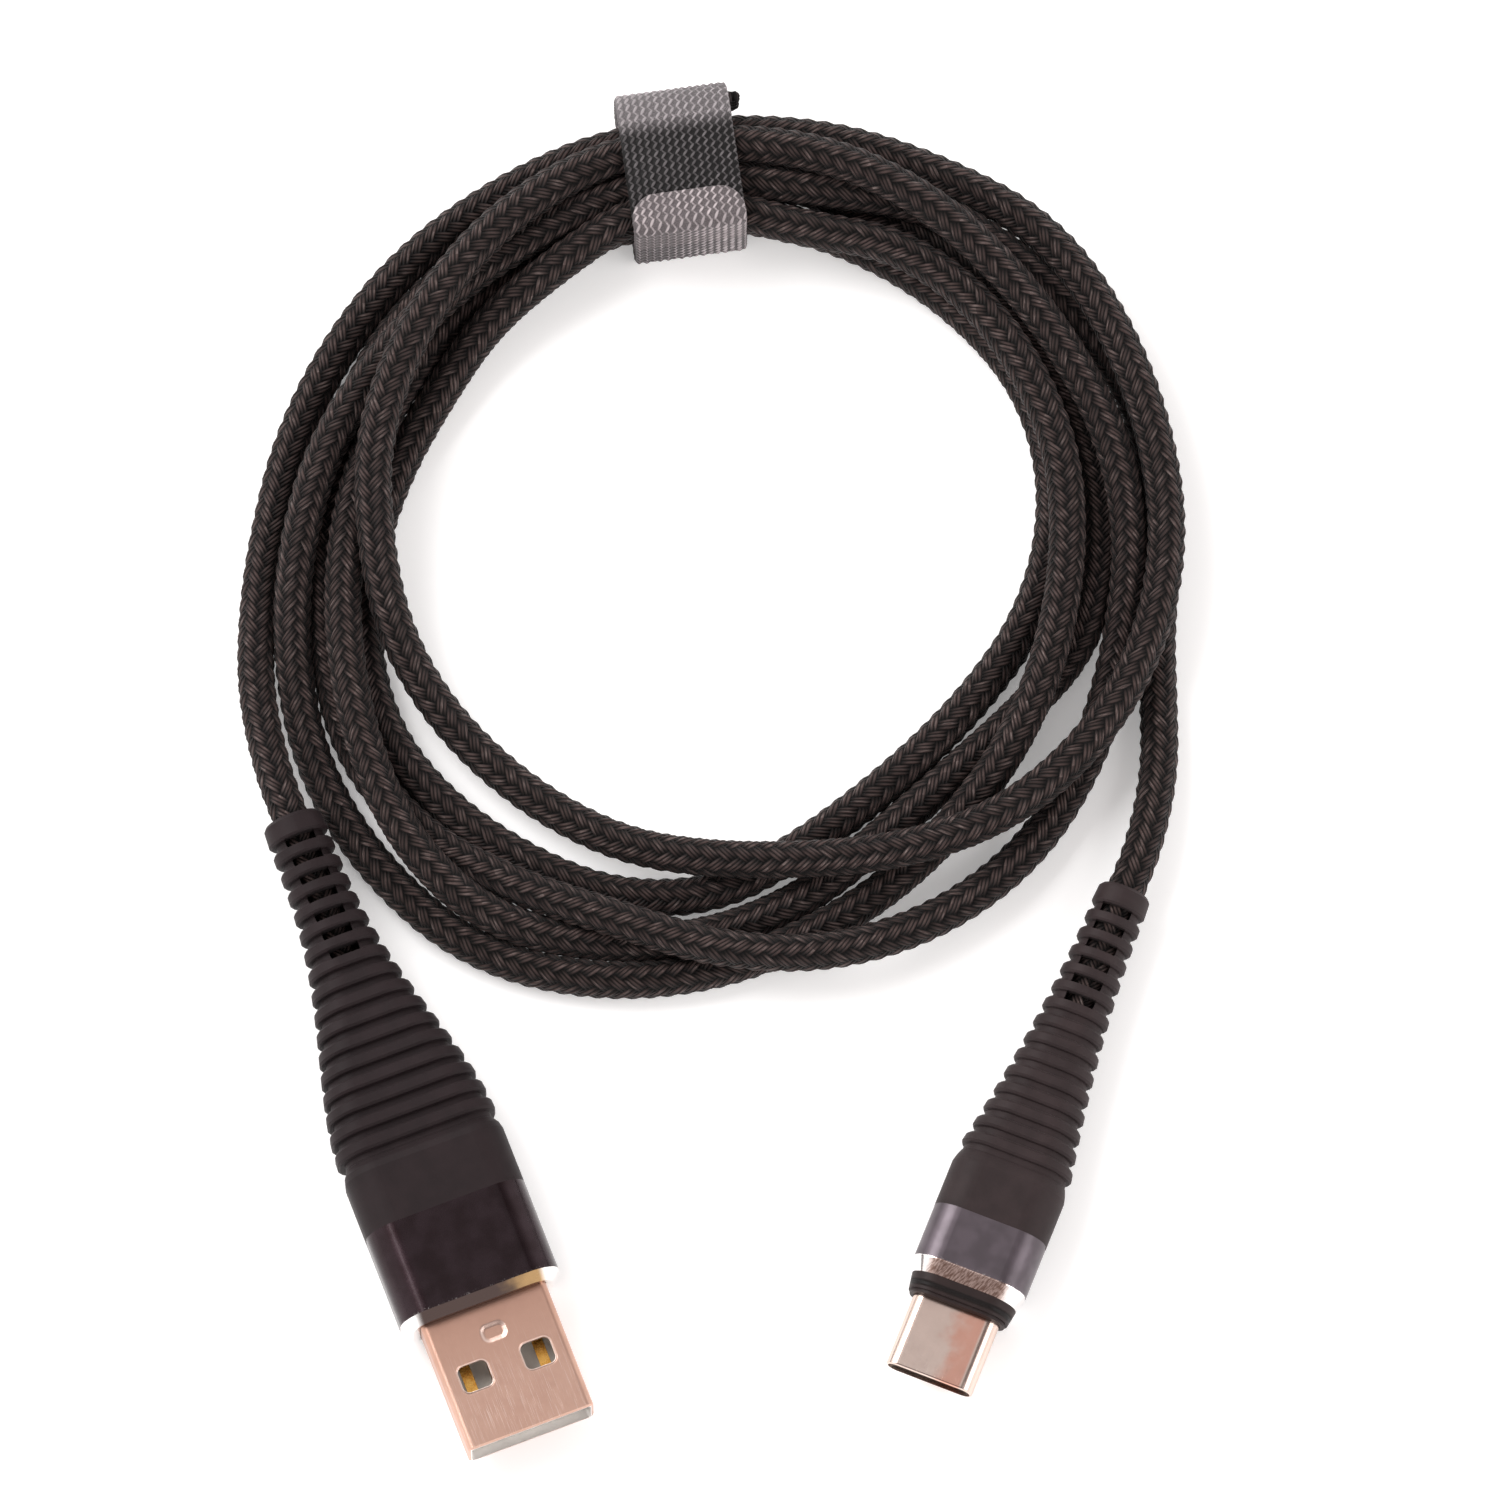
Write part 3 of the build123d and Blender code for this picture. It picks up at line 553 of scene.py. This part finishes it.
def plug_axes(tip_x, tip_y, axis_z, heading, reach):
    """A plug's axes, and its origin on them: reach behind its tip, at the housing's front."""
    ux, uy = math.cos(math.radians(heading)), math.sin(math.radians(heading))
    return {
        "origin": (tip_x - ux * reach, tip_y - uy * reach, axis_z),
        "x": (-uy, ux, 0.0),
        "y": (0.0, 0.0, 1.0),
        "z": (ux, uy, 0.0),
    }


PLUG_A = plug_axes(-15.7, -61.8, 3.95, -69.0, 12.2)
PLUG_C = plug_axes(19.95, -56.7, 3.2, -111.5, 6.9)


def braid_material():
    """Three ends of yarn in each band, over two bands and under two, with fine filaments, painted
    highlights on the crests and painted shade between the ends.
    """
    s = Shader("braided_sleeve")
    uv = s.node("UVMap", uv_map="braid").outputs[0]
    parts = s.node("SeparateXYZ", {0: uv}).outputs
    a, b = parts[0], parts[1]
    ia, ib = s.math("FLOOR", a), s.math("FLOOR", b)
    fa, fb = s.math("FRACT", a), s.math("FRACT", b)
    m = s.math("FLOORED_MODULO", s.math("ADD", s.math("SUBTRACT", ia, ib), 0.25), 4.0)
    b_over = s.math("GREATER_THAN", m, 2.0)

    def pick(if_a, if_b):
        first = s.math("MULTIPLY", if_b, b_over)
        return s.math("MULTIPLY_ADD", if_a, s.math("SUBTRACT", 1.0, b_over), first)

    across = pick(fa, fb)
    lengthwise = pick(fb, fa)
    half_turn = s.math("FLOORED_MODULO", s.math("ADD", m, pick(0.0, 1.0)), 2.0)
    second_half = s.math("LESS_THAN", half_turn, 1.0)
    t = s.math("MULTIPLY", s.math("ADD", lengthwise, second_half), 0.5)
    end = s.math("MULTIPLY", across, 3.0)
    e = s.math("FRACT", end)
    round_end = s.math("SINE", s.math("MULTIPLY", e, math.pi))
    crest = s.math("SINE", s.math("MULTIPLY", t, math.pi))
    band = pick(ia, s.math("ADD", ib, 500.0))
    yarn = s.math("ADD", s.math("MULTIPLY", band, 3.0), s.math("FLOOR", end))
    float_id = s.math("FLOOR", s.math("MULTIPLY", s.math("ADD", pick(b, a), pick(ia, ib)), 0.5))
    random = s.node("TexWhiteNoise", {"Vector": s.combine(yarn, float_id)}, noise_dimensions="2D")
    random = random.outputs["Value"]
    drawn_out = s.combine(s.math("MULTIPLY", pick(a, b), 22.0), s.math("MULTIPLY", pick(b, a), 1.3))
    filaments = s.noise(drawn_out, 1.0, 2.0)
    lint = s.noise(s.millimetres(), 1.6, 3.0)
    # painted highlight on the crests of the floats, painted shade in the gaps between ends and where the
    # floats dive under
    painted_light = s.math("MULTIPLY", s.math("POWER", crest, 1.5), s.math("POWER", round_end, 1.1))
    # painted light from one side: bands running one way painted lighter than those running the other way
    painted_light = s.math("MULTIPLY", painted_light, pick(1.1, 0.8))
    flecks = s.math("MULTIPLY", s.ramp(random, 0.6, 1.0), s.ramp(filaments, 0.45, 0.7))
    # shade mixes the painted light with the yarn's own tone: filaments, random ends and lint
    shade = s.math("MULTIPLY", painted_light, s.math("MULTIPLY_ADD", filaments, 0.9, 0.45))
    shade = s.math("MULTIPLY", shade, s.math("MULTIPLY_ADD", random, 0.5, 0.7))
    shade = s.math("MULTIPLY", shade, s.math("MULTIPLY_ADD", lint, 0.7, 0.6))
    colour = s.mix(s.math("MINIMUM", shade, 1.0), (0.0008, 0.0006, 0.0006), (0.078, 0.052, 0.048))
    # light-coloured flecks in the yarn, scaled by the painted highlight so that they show only on the
    # crests
    colour = s.mix(s.math("MULTIPLY", s.math("MULTIPLY", flecks, painted_light), 0.5), colour, (0.34, 0.28, 0.265))
    height = s.math("MULTIPLY_ADD", round_end, 0.8, s.math("MULTIPLY", filaments, 0.35))
    return s.finish(
        Base_Color=colour,
        Roughness=s.math("MULTIPLY_ADD", filaments, 0.25, 0.42),
        Normal=s.bump(height, 0.00016, 0.9),
        Sheen_Weight=0.04,
        Sheen_Roughness=0.45,
        Specular_IOR_Level=0.12,
    )


def strap_material(name, dark, light, sheen_amount, far_sheen_amount=None):
    """Twill floats of shiny filament over a dark ground. The third argument is how far they show
    silvery, a painted sheen.

    The last argument is how much more painted sheen shows past the crease near the far edge, if there is
    one.
    """
    s = Shader(name)
    uv = s.node("UVMap", uv_map="strap").outputs[0]
    parts = s.node("SeparateXYZ", {0: uv}).outputs
    x, y = parts[0], parts[1]
    p = s.math("DIVIDE", x, WARP_PITCH)
    column = s.math("FLOOR", p)
    q = s.math("ADD", s.math("DIVIDE", y, WEFT_PITCH), s.math("DIVIDE", column, 3.0))
    a = s.math("MULTIPLY", s.math("SUBTRACT", s.math("FRACT", p), 0.5), WARP_PITCH)
    b = s.math("MULTIPLY", s.math("SUBTRACT", s.math("FRACT", q), 0.5), WEFT_PITCH)
    c, n = math.cos(FLOAT_SLANT), math.sin(FLOAT_SLANT)
    across = s.math("SUBTRACT", s.math("MULTIPLY", a, c), s.math("MULTIPLY", b, n))
    lengthwise = s.math("ADD", s.math("MULTIPLY", a, n), s.math("MULTIPLY", b, c))
    floating = s.ramp(s.ellipse(across, lengthwise, 0.115, 0.36), 1.5, 0.25)
    # a thinner length of the same yarn leads from each float to the next
    b = s.math("SUBTRACT", s.math("FRACT", s.math("ADD", q, 0.5)), 0.5)
    b = s.math("MULTIPLY", b, WEFT_PITCH)
    link_across = s.math("ADD", s.math("MULTIPLY", a, c), s.math("MULTIPLY", b, n))
    link_along = s.math("SUBTRACT", s.math("MULTIPLY", b, c), s.math("MULTIPLY", a, n))
    link = s.ramp(s.ellipse(link_across, link_along, 0.075, 0.27), 1.6, 0.3, 0.0, 0.6)
    floating = s.math("MAXIMUM", floating, link)
    float_id = s.combine(column, s.math("FLOOR", q))
    random = s.node("TexWhiteNoise", {"Vector": float_id}, noise_dimensions="2D")
    hair = s.noise(s.combine(s.math("MULTIPLY", across, 16.0), s.math("MULTIPLY", y, 2.0)), 1.0, 2.0)
    patch = s.noise(uv, 0.9, 3.0)
    ground = s.noise(uv, 9.0, 2.0)
    # painted sheen: how far the floats show silvery, in patches
    wear_and_painted_sheen = s.math("MULTIPLY", s.math("MULTIPLY_ADD", patch, 0.8, 0.6), sheen_amount)
    if far_sheen_amount:
        # painted sheen towards the far edge, with a painted highlight along the crease
        past = s.ramp(y, CREASE - 1.8, CREASE + 0.6)
        crease_highlight = s.ramp(s.math("ABSOLUTE", s.math("SUBTRACT", y, CREASE)), 0.3, 0.0)
        wear_and_painted_sheen = s.math("MULTIPLY_ADD", past, far_sheen_amount, s.math("MULTIPLY_ADD", crease_highlight, 0.7, wear_and_painted_sheen))
    amount = s.math("MULTIPLY", floating, s.math("MULTIPLY_ADD", random.outputs["Value"], 0.5, 0.6))
    amount = s.math("MULTIPLY", amount, s.math("MULTIPLY_ADD", hair, 0.9, 0.5))
    # painted sheen over the ground between the floats as well
    painted_ground_sheen = s.math("MULTIPLY", s.ramp(ground, 0.3, 0.8, 0.0, 0.45), s.math("MULTIPLY", wear_and_painted_sheen, wear_and_painted_sheen))
    base = s.mix(painted_ground_sheen, dark, tuple(0.55 * v for v in light))
    if far_sheen_amount:
        # the ground painted lighter past the crease, as painted sheen
        base = s.mix(s.math("MULTIPLY", past, 0.45), base, tuple(0.6 * v for v in light))
    colour = s.mix(s.math("MULTIPLY", amount, wear_and_painted_sheen, clamp=True), base, light)
    height = s.math("MULTIPLY_ADD", floating, 0.6, s.math("MULTIPLY", hair, 0.5))
    return s.finish(
        Base_Color=colour,
        Roughness=s.math("MULTIPLY_ADD", hair, 0.2, 0.42),
        Normal=s.bump(height, 0.00009, 0.8),
        Sheen_Weight=0.03,
        Sheen_Roughness=0.5,
        Specular_IOR_Level=0.15,
    )


HOLE_CORNER = 0.6  # radius in the corners of the stamped holes, in mm


def steel_material(name, plug, colour, back_colour, rough, grain, flush=0.0, holes=(), inside=None):
    """Plated sheet: rolled grain along the plug, fine rubs from plugging in, a soft mottle.

    flush is how far one side goes copper red. holes are stamped with a rolled-in rim, with a painted
    highlight round it:
    (across, along, width, length, rim outside, rim inside), mirrored across the plug, in mm.
    inside is half the width and height of the opening, in which the sheet is painted near white: a
    painted highlight on the walls of the mouth.
    """
    s = Shader(name)
    across, up, along = s.along(plug)
    where = s.combine(across, up, along)
    rolled = s.noise(s.stretched((across, 9.0), (up, 9.0), (along, 0.9)), 1.0, 3.0)
    mottle = s.noise(where, 0.35, 3.0, 0.6)
    pits = s.noise(where, 14.0, 2.0)
    rubs = s.noise(s.stretched((across, 26.0), (up, 1), (along, 0.35)), 1.0, 1.0)
    rub = s.math("MULTIPLY", s.ramp(rubs, 0.62, 0.72), s.ramp(along, 1.0, 9.0))
    # painted shade: the shell painted darker towards the housing
    tint = s.mix(s.ramp(along, 10.0, -2.0), colour, back_colour)
    tint = s.mix(s.ramp(mottle, 0.35, 0.75, 0.0, 0.35), tint, tuple(0.8 * v for v in back_colour))
    tint = s.mix(s.math("MULTIPLY", rub, 0.35), tint, (0.95, 0.9, 0.86))
    if flush:
        red = s.ramp(s.math("MULTIPLY_ADD", mottle, 6.0, across), 2.4, 4.8, 0.0, flush)
        flat = s.ramp(s.math("ABSOLUTE", across), 3.0, 2.7)
        tint = s.mix(s.math("MULTIPLY", red, flat), tint, (0.74, 0.30, 0.20))
    if inside:
        # painted highlight: the walls of the mouth painted near white
        sizes = zip((across, up), inside)
        walls = [s.math("DIVIDE", s.math("ABSOLUTE", way), half) for way, half in sizes]
        opening_highlight = s.ramp(s.math("MAXIMUM", *walls), 1.02, 1.005)
        tint = s.mix(opening_highlight, tint, (0.93, 0.91, 0.90))
    stamped = 1.0
    for hole_x, hole_y, width, length, rim_out, rim_in in holes:
        off_x = s.math("ABSOLUTE", s.math("SUBTRACT", s.math("ABSOLUTE", across), hole_x))
        off_y = s.math("ABSOLUTE", s.math("SUBTRACT", along, hole_y))
        dx = s.math("MAXIMUM", s.math("SUBTRACT", off_x, width / 2 - HOLE_CORNER), 0.0)
        dy = s.math("MAXIMUM", s.math("SUBTRACT", off_y, length / 2 - HOLE_CORNER), 0.0)
        away = s.math("SQRT", s.math("MULTIPLY_ADD", dx, dx, s.math("MULTIPLY", dy, dy)))
        far = s.math("SUBTRACT", away, HOLE_CORNER)
        stamped = s.math("MULTIPLY", stamped, s.ramp(far, -rim_in, rim_out))
        # painted highlight: a light band painted round each hole's rim
        edge = s.math("MULTIPLY", s.ramp(far, -rim_in - 0.05, 0.0), s.ramp(far, rim_out, 0.0))
        tint = s.mix(s.math("MULTIPLY", edge, 0.4), tint, (0.98, 0.9, 0.85))
    height = s.math("ADD", s.math("MULTIPLY", rolled, grain), s.math("MULTIPLY", pits, 0.5 * grain))
    height = s.math("SUBTRACT", height, s.math("MULTIPLY", rub, 0.4))
    roughness = s.math("ADD", s.math("MULTIPLY", pits, 0.12), s.math("MULTIPLY_ADD", mottle, 0.1, rough))
    rim = s.bump(stamped, 0.00013, 1.0) if holes else None
    normal = s.bump(height, 0.00001, 0.5, rim)
    return s.finish(Base_Color=tint, Metallic=1.0, Roughness=roughness, Normal=normal)


def anodised_material(name, plug, colour, deep, chamfer, rough, with_bronze_reflection=False):
    """Dyed, blasted aluminium, cut back to bright metal along the chamfer at its front, with a painted
    reflection near white at the chamfer's corners.

    With the bronze option the chamfer is polished, and painted bronze between its corners as a painted
    reflection.
    """
    s = Shader(name)
    across, up, along = s.along(plug)
    where = s.combine(across, up, along)
    blast = s.noise(where, 16.0, 3.0)
    cloud = s.noise(where, 0.5, 2.0)
    turned = s.noise(s.stretched((across, 0.8), (up, 1), (along, 24.0)), 1.0, 1.0)
    wobble = s.math("MULTIPLY_ADD", s.noise(where, 2.0, 2.0), 0.05, chamfer)
    cut = s.ramp(s.math("SUBTRACT", along, wobble), -0.06, -0.01)
    slanting = s.math("MULTIPLY_ADD", along, 3.0, s.math("MULTIPLY", across, 7.0))
    strokes = s.noise(s.combine(slanting, up, s.math("MULTIPLY", along, 2.0)), 1.0, 2.0)
    dyed = s.mix(s.ramp(cloud, 0.3, 0.7), colour, deep)
    chips = s.ramp(s.noise(where, 7.0, 3.0), 0.55, 0.75)
    wear_and_painted_sheen = s.math("MULTIPLY", s.ramp(along, chamfer - 0.3, chamfer), chips)
    dyed = s.mix(s.math("MULTIPLY", wear_and_painted_sheen, 0.6), dyed, (0.5, 0.46, 0.46))
    brushed = s.math("ADD", strokes, turned)
    if with_bronze_reflection:
        # painted reflection: bronze across the middle of the chamfer, near white at its corners
        reflection_spread = s.math("MULTIPLY_ADD", s.noise(where, 0.8, 2.0), 3.0, across)
        bronze = s.mix(s.ramp(reflection_spread, 3.2, 6.5), (0.075, 0.05, 0.045), (0.42, 0.26, 0.12))
        chamfer_metal_and_reflections = s.mix(s.ramp(s.math("ABSOLUTE", across), 5.5, 6.5), bronze, (0.95, 0.93, 0.92))
        brushed = s.math("MULTIPLY", brushed, 0.15)
    else:
        chamfer_metal_and_reflections = s.mix(s.ramp(strokes, 0.35, 0.65), (0.70, 0.54, 0.49), (0.30, 0.19, 0.155))
        # painted reflection: the chamfer painted near white at its corners
        chamfer_metal_and_reflections = s.mix(s.ramp(s.math("ABSOLUTE", across), 3.3, 4.1), chamfer_metal_and_reflections, (0.95, 0.92, 0.91))
        brushed = s.math("MULTIPLY", brushed, 0.5)
    blasted = s.math("MULTIPLY", blast, s.math("SUBTRACT", 1.0, cut))
    height = s.math("ADD", blasted, s.math("MULTIPLY", brushed, cut))
    matt = s.math("MULTIPLY_ADD", blast, 0.08, rough)
    roughness = s.math("ADD", s.math("MULTIPLY", cut, 0.12 - rough), matt)
    return s.finish(
        Base_Color=s.mix(cut, dyed, chamfer_metal_and_reflections),
        Metallic=1.0,
        Roughness=roughness,
        Normal=s.bump(height, 0.000006, 0.5),
        Coat_Weight=0.2,
        Coat_Roughness=0.15,
    )


def moulded_material(
    name, colour, plug=None, rough=0.55, texture=1.0, specular=0.4, sheen=0.0, groove=None
):
    """Moulded plastic or elastomer: eroded mould texture, flow clouding, dust in scattered patches.

    groove is how far along the plug a groove runs round the piece, in mm, its bottom painted dark as
    painted shade.
    """
    s = Shader(name)
    if plug:
        across, up, along = s.along(plug)
        where = s.combine(across, up, along)
    else:
        where = s.millimetres()
    erode = s.noise(where, 13.0, 4.0, 0.6)
    cloud = s.noise(where, 0.45, 3.0)
    dust = s.ramp(s.noise(where, 5.0, 4.0, 0.7), 0.58, 0.78)
    lighter = tuple(min(1.0, v * 1.16) for v in colour)
    darker = tuple(v * 0.88 for v in colour)
    base = s.mix(s.ramp(cloud, 0.3, 0.7), darker, lighter)
    dusty = tuple(min(1.0, 1.9 * v + 0.006) for v in colour)
    base = s.mix(s.math("MULTIPLY", dust, 0.12), base, dusty)
    round_groove = None
    if groove is not None:
        open_at = s.ramp(s.math("ABSOLUTE", s.math("SUBTRACT", along, groove)), 0.08, 0.34)
        # painted shade: the bottom of the groove painted dark
        base = s.mix(open_at, tuple(0.25 * v for v in colour), base)
        round_groove = s.bump(open_at, 0.0002, 1.0)
    return s.finish(
        Base_Color=base,
        Roughness=s.math("MULTIPLY_ADD", erode, 0.22, rough - 0.11),
        Normal=s.bump(erode, 0.00002 * texture, 0.5, round_groove),
        Specular_IOR_Level=specular,
        Sheen_Weight=sheen,
        Sheen_Roughness=0.4,
    )


def plated_material(name, colour, deep, rough):
    """Thin plating on a small part, with drawing lines and tarnish."""
    s = Shader(name)
    where = s.millimetres()
    fine = s.noise(where, 12.0, 3.0)
    stain = s.ramp(s.noise(where, 1.6, 3.0), 0.4, 0.7)
    return s.finish(
        Base_Color=s.mix(stain, colour, deep),
        Metallic=1.0,
        Roughness=s.math("MULTIPLY_ADD", fine, 0.2, rough),
        Normal=s.bump(fine, 0.000006, 0.5),
    )


def board_material():
    """Solder mask with copper tracks showing lighter under it, and the weave of the glass."""
    s = Shader("board_laminate")
    across, _, along = s.along(PLUG_C)
    track = s.math("PINGPONG", s.math("MULTIPLY", across, 1.6), 0.5)
    threads = [s.math("SINE", s.math("MULTIPLY", way, 30.0)) for way in (across, along)]
    glass = s.math("MULTIPLY", *threads)
    tracks = s.ramp(track, 0.2, 0.26)
    mask = s.mix(tracks, (0.004, 0.05, 0.02), (0.015, 0.14, 0.05))
    height = s.math("MULTIPLY_ADD", glass, 0.15, tracks)
    return s.finish(Base_Color=mask, Roughness=0.3, Normal=s.bump(height, 0.00002, 0.5), Coat_Weight=0.3)


def dress(material, slot_name, *names):
    """Gives CAD nodes a material. slot_name is not used."""
    for name in names:
        piece = NODES[name]
        piece.data.materials.clear()
        piece.data.materials.append(material)


SHELL_A_HOLES = [(3.0, 6.0, 2.8, 2.5, 0.2, 0.0), (0.0, 2.7, 2.2, 1.5, 0.2, 0.32)]
shell_a_steel = steel_material(
    "satin_nickel", PLUG_A, (0.64, 0.41, 0.325), (0.54, 0.32, 0.245), 0.26, 1.0,
    holes=SHELL_A_HOLES, inside=(5.7, 1.95)
)
shell_c_steel = steel_material(
    "polished_nickel", PLUG_C, (0.74, 0.60, 0.53), (0.70, 0.55, 0.48), 0.1, 0.35, flush=0.6
)
dress(shell_a_steel, "usb_a_steel", "usb_a_shell")
dress(shell_c_steel, "usb_c_steel", "usb_c_shell")
black = anodised_material(
    "anodised_black", PLUG_A, (0.035, 0.022, 0.026), (0.024, 0.014, 0.016), -0.9, 0.24, with_bronze_reflection=True
)
slate = anodised_material(
    "anodised_slate", PLUG_C, (0.125, 0.103, 0.118), (0.094, 0.078, 0.088), -3.2, 0.42
)
dress(black, "anodised_black", "usb_a_housing")
dress(slate, "anodised_slate", "usb_c_housing")
for boot, colour, plug in (
    ("usb_a_boot", (0.014, 0.008, 0.009), PLUG_A),
    ("usb_c_boot", (0.026, 0.017, 0.0175), PLUG_C),
):
    rubber = moulded_material(boot + "_elastomer", colour, plug, 0.6, specular=0.18, sheen=0.03)
    dress(rubber, "boot_elastomer", boot)
lip = moulded_material(
    "lip_plastic", (0.022, 0.0135, 0.013), PLUG_C, 0.5, specular=0.2, groove=-0.85
)
dress(lip, "lip_plastic", "usb_c_inner_mould")
for slot_name, colour, plug, rough, names in (
    ("inner_plastic", (0.75, 0.74, 0.7), PLUG_A, 0.5, ["usb_a_inner_mould", "usb_a_rear_block"]),
    ("tongue_plastic", (0.45, 0.42, 0.38), PLUG_A, 0.45, ["usb_a_tongue"]),
    ("mouth_plastic", (0.015, 0.015, 0.015), PLUG_C, 0.4, ["usb_c_insulator"]),
    ("resistor_body", (0.02, 0.02, 0.022), PLUG_C, 0.4, ["usb_c_pull_up_resistor"]),
):
    dress(moulded_material(slot_name, colour, plug, rough), slot_name, *names)
CONTACTS = ["usb_a_power_contacts", "usb_a_data_contacts"]
CONTACTS += ["usb_c_upper_contacts", "usb_c_lower_contacts"]
SPRINGS = ["usb_c_latch_left", "usb_c_latch_right", "usb_c_ground_springs"]
for slot_name, colour, deep, rough, names in (
    ("gold_contact", (0.92, 0.52, 0.13), (0.74, 0.34, 0.06), 0.18, CONTACTS),
    ("spring_steel", (0.66, 0.63, 0.6), (0.5, 0.46, 0.44), 0.25, SPRINGS),
    ("crimp_steel", (0.6, 0.6, 0.6), (0.44, 0.43, 0.42), 0.3, ["usb_a_ferrule", "usb_c_ferrule"]),
):
    dress(plated_material(slot_name, colour, deep, rough), slot_name, *names)
dress(board_material(), "board_laminate", "usb_c_circuit_board")
for colour_name, colour, wire in (
    ("red", (0.5, 0.02, 0.015), "power_wire"),
    ("black", (0.012, 0.012, 0.012), "ground_wire"),
    ("green", (0.02, 0.25, 0.05), "data_plus_wire"),
    ("white", (0.75, 0.75, 0.72), "data_minus_wire"),
):
    core = moulded_material("wire_" + colour_name, colour, None, 0.35, texture=0.4, specular=0.5)
    dress(core, "wire_" + colour_name, "usb_a_" + wire, "usb_c_" + wire)

cord.data.materials.append(braid_material())
# each length gets its own colours and painted sheen: the side flap and the tab painted lighter than the
# band, as painted light on the raised folds
for piece, dark, light, *sheen_amount in (
    (tie_band, (0.0035, 0.003, 0.003), (0.34, 0.31, 0.32), 0.36, 0.95),
    (tie_side, (0.05, 0.044, 0.046), (0.50, 0.45, 0.46), 0.9),
    (tie_tip, (0.085, 0.073, 0.076), (0.58, 0.51, 0.52), 0.8),
    (tie_end, (0.004, 0.003, 0.003), (0.15, 0.12, 0.12), 0.4),
):
    piece.data.materials.append(strap_material(piece.name + "_twill", dark, light, *sheen_amount))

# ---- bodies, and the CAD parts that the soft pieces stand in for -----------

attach(cord, "root")
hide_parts("cord_coil", "cord_run_usb_a", "cord_run_usb_c", "usb_a_cord_end", "usb_c_cord_end")

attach(tie_band, "root")
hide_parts("strap_band")
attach(tie_end, "root")


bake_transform(tie_side)
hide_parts("strap_side")
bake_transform(tie_tip)
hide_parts("strap_tip")

# ---- floor and light -------------------------------------------------------


def floor_material():
    """Pale paper that glows a little, so that the floor stays near white."""
    s = Shader("floor_paper")
    where = s.node("TexCoord").outputs["Object"]
    grain = s.noise(where, 900.0, 3.0)
    tone = s.mix(s.noise(where, 6.0, 2.0), (0.93, 0.925, 0.92), (0.955, 0.95, 0.95))
    return s.finish(
        Base_Color=tone,
        Roughness=0.9,
        Normal=s.bump(grain, 0.00002, 0.2),
        Specular_IOR_Level=0.1,
        Emission_Color=(1.0, 0.995, 0.99),
        Emission_Strength=0.25,
    )


FLOOR_HALF = 3.0
floor_mesh = bpy.data.meshes.new("floor")
corners = [(x * FLOOR_HALF, y * FLOOR_HALF, 0) for x, y in ((-1, -1), (1, -1), (1, 1), (-1, 1))]
floor_mesh.from_pydata(corners, [], [(0, 1, 2, 3)])
floor = bpy.data.objects.new("floor", floor_mesh)
floor.data.materials.append(floor_material())
bpy.context.scene.collection.objects.link(floor)

world = bpy.data.worlds.new("studio")
bpy.context.scene.world = world
world.use_nodes = True
tree = world.node_tree
sky = tree.nodes["Background"]
direction = tree.nodes.new("ShaderNodeTexCoord").outputs["Generated"]
split = tree.nodes.new("ShaderNodeSeparateXYZ")
tree.links.new(direction, split.inputs[0])
tone = tree.nodes.new("ShaderNodeValToRGB")
tree.links.new(split.outputs["Z"], tone.inputs[0])
# The sky's colour from the horizon (0) to straight up (1), dark overhead for the metal.
SKY = [
    (0.0, (1.0, 0.99, 0.98)),
    (0.55, (1.0, 0.98, 0.97)),
    (0.78, (0.40, 0.36, 0.35)),
    (0.92, (0.14, 0.12, 0.12)),
    (1.0, (0.12, 0.1, 0.1)),
]
stops = tone.color_ramp.elements
for stop, (place, colour) in zip(stops, (SKY[0], SKY[-1])):
    stop.position, stop.color = place, (*colour, 1)
for place, colour in SKY[1:-1]:
    stops.new(place).color = (*colour, 1)
tree.links.new(tone.outputs[0], sky.inputs["Color"])
sky.inputs["Strength"].default_value = 1.3


def softbox(name, place, size, watts):
    """A rectangular area light that faces the origin."""
    light = bpy.data.lights.new(name, "AREA")
    light.shape = "RECTANGLE"
    light.size, light.size_y = size
    light.energy = watts
    made = bpy.data.objects.new(name, light)
    made.location = place
    made.rotation_euler = (-Vector(place)).to_track_quat("-Z", "Y").to_euler()
    bpy.context.scene.collection.objects.link(made)


softbox("key", (-0.55, 0.35, 0.7), (0.6, 0.6), 7)
softbox("fill", (0.6, -0.25, 0.6), (0.7, 0.5), 2.5)
softbox("panel", (0.0, 0.33, 1.15), (0.5, 0.4), 0.42)
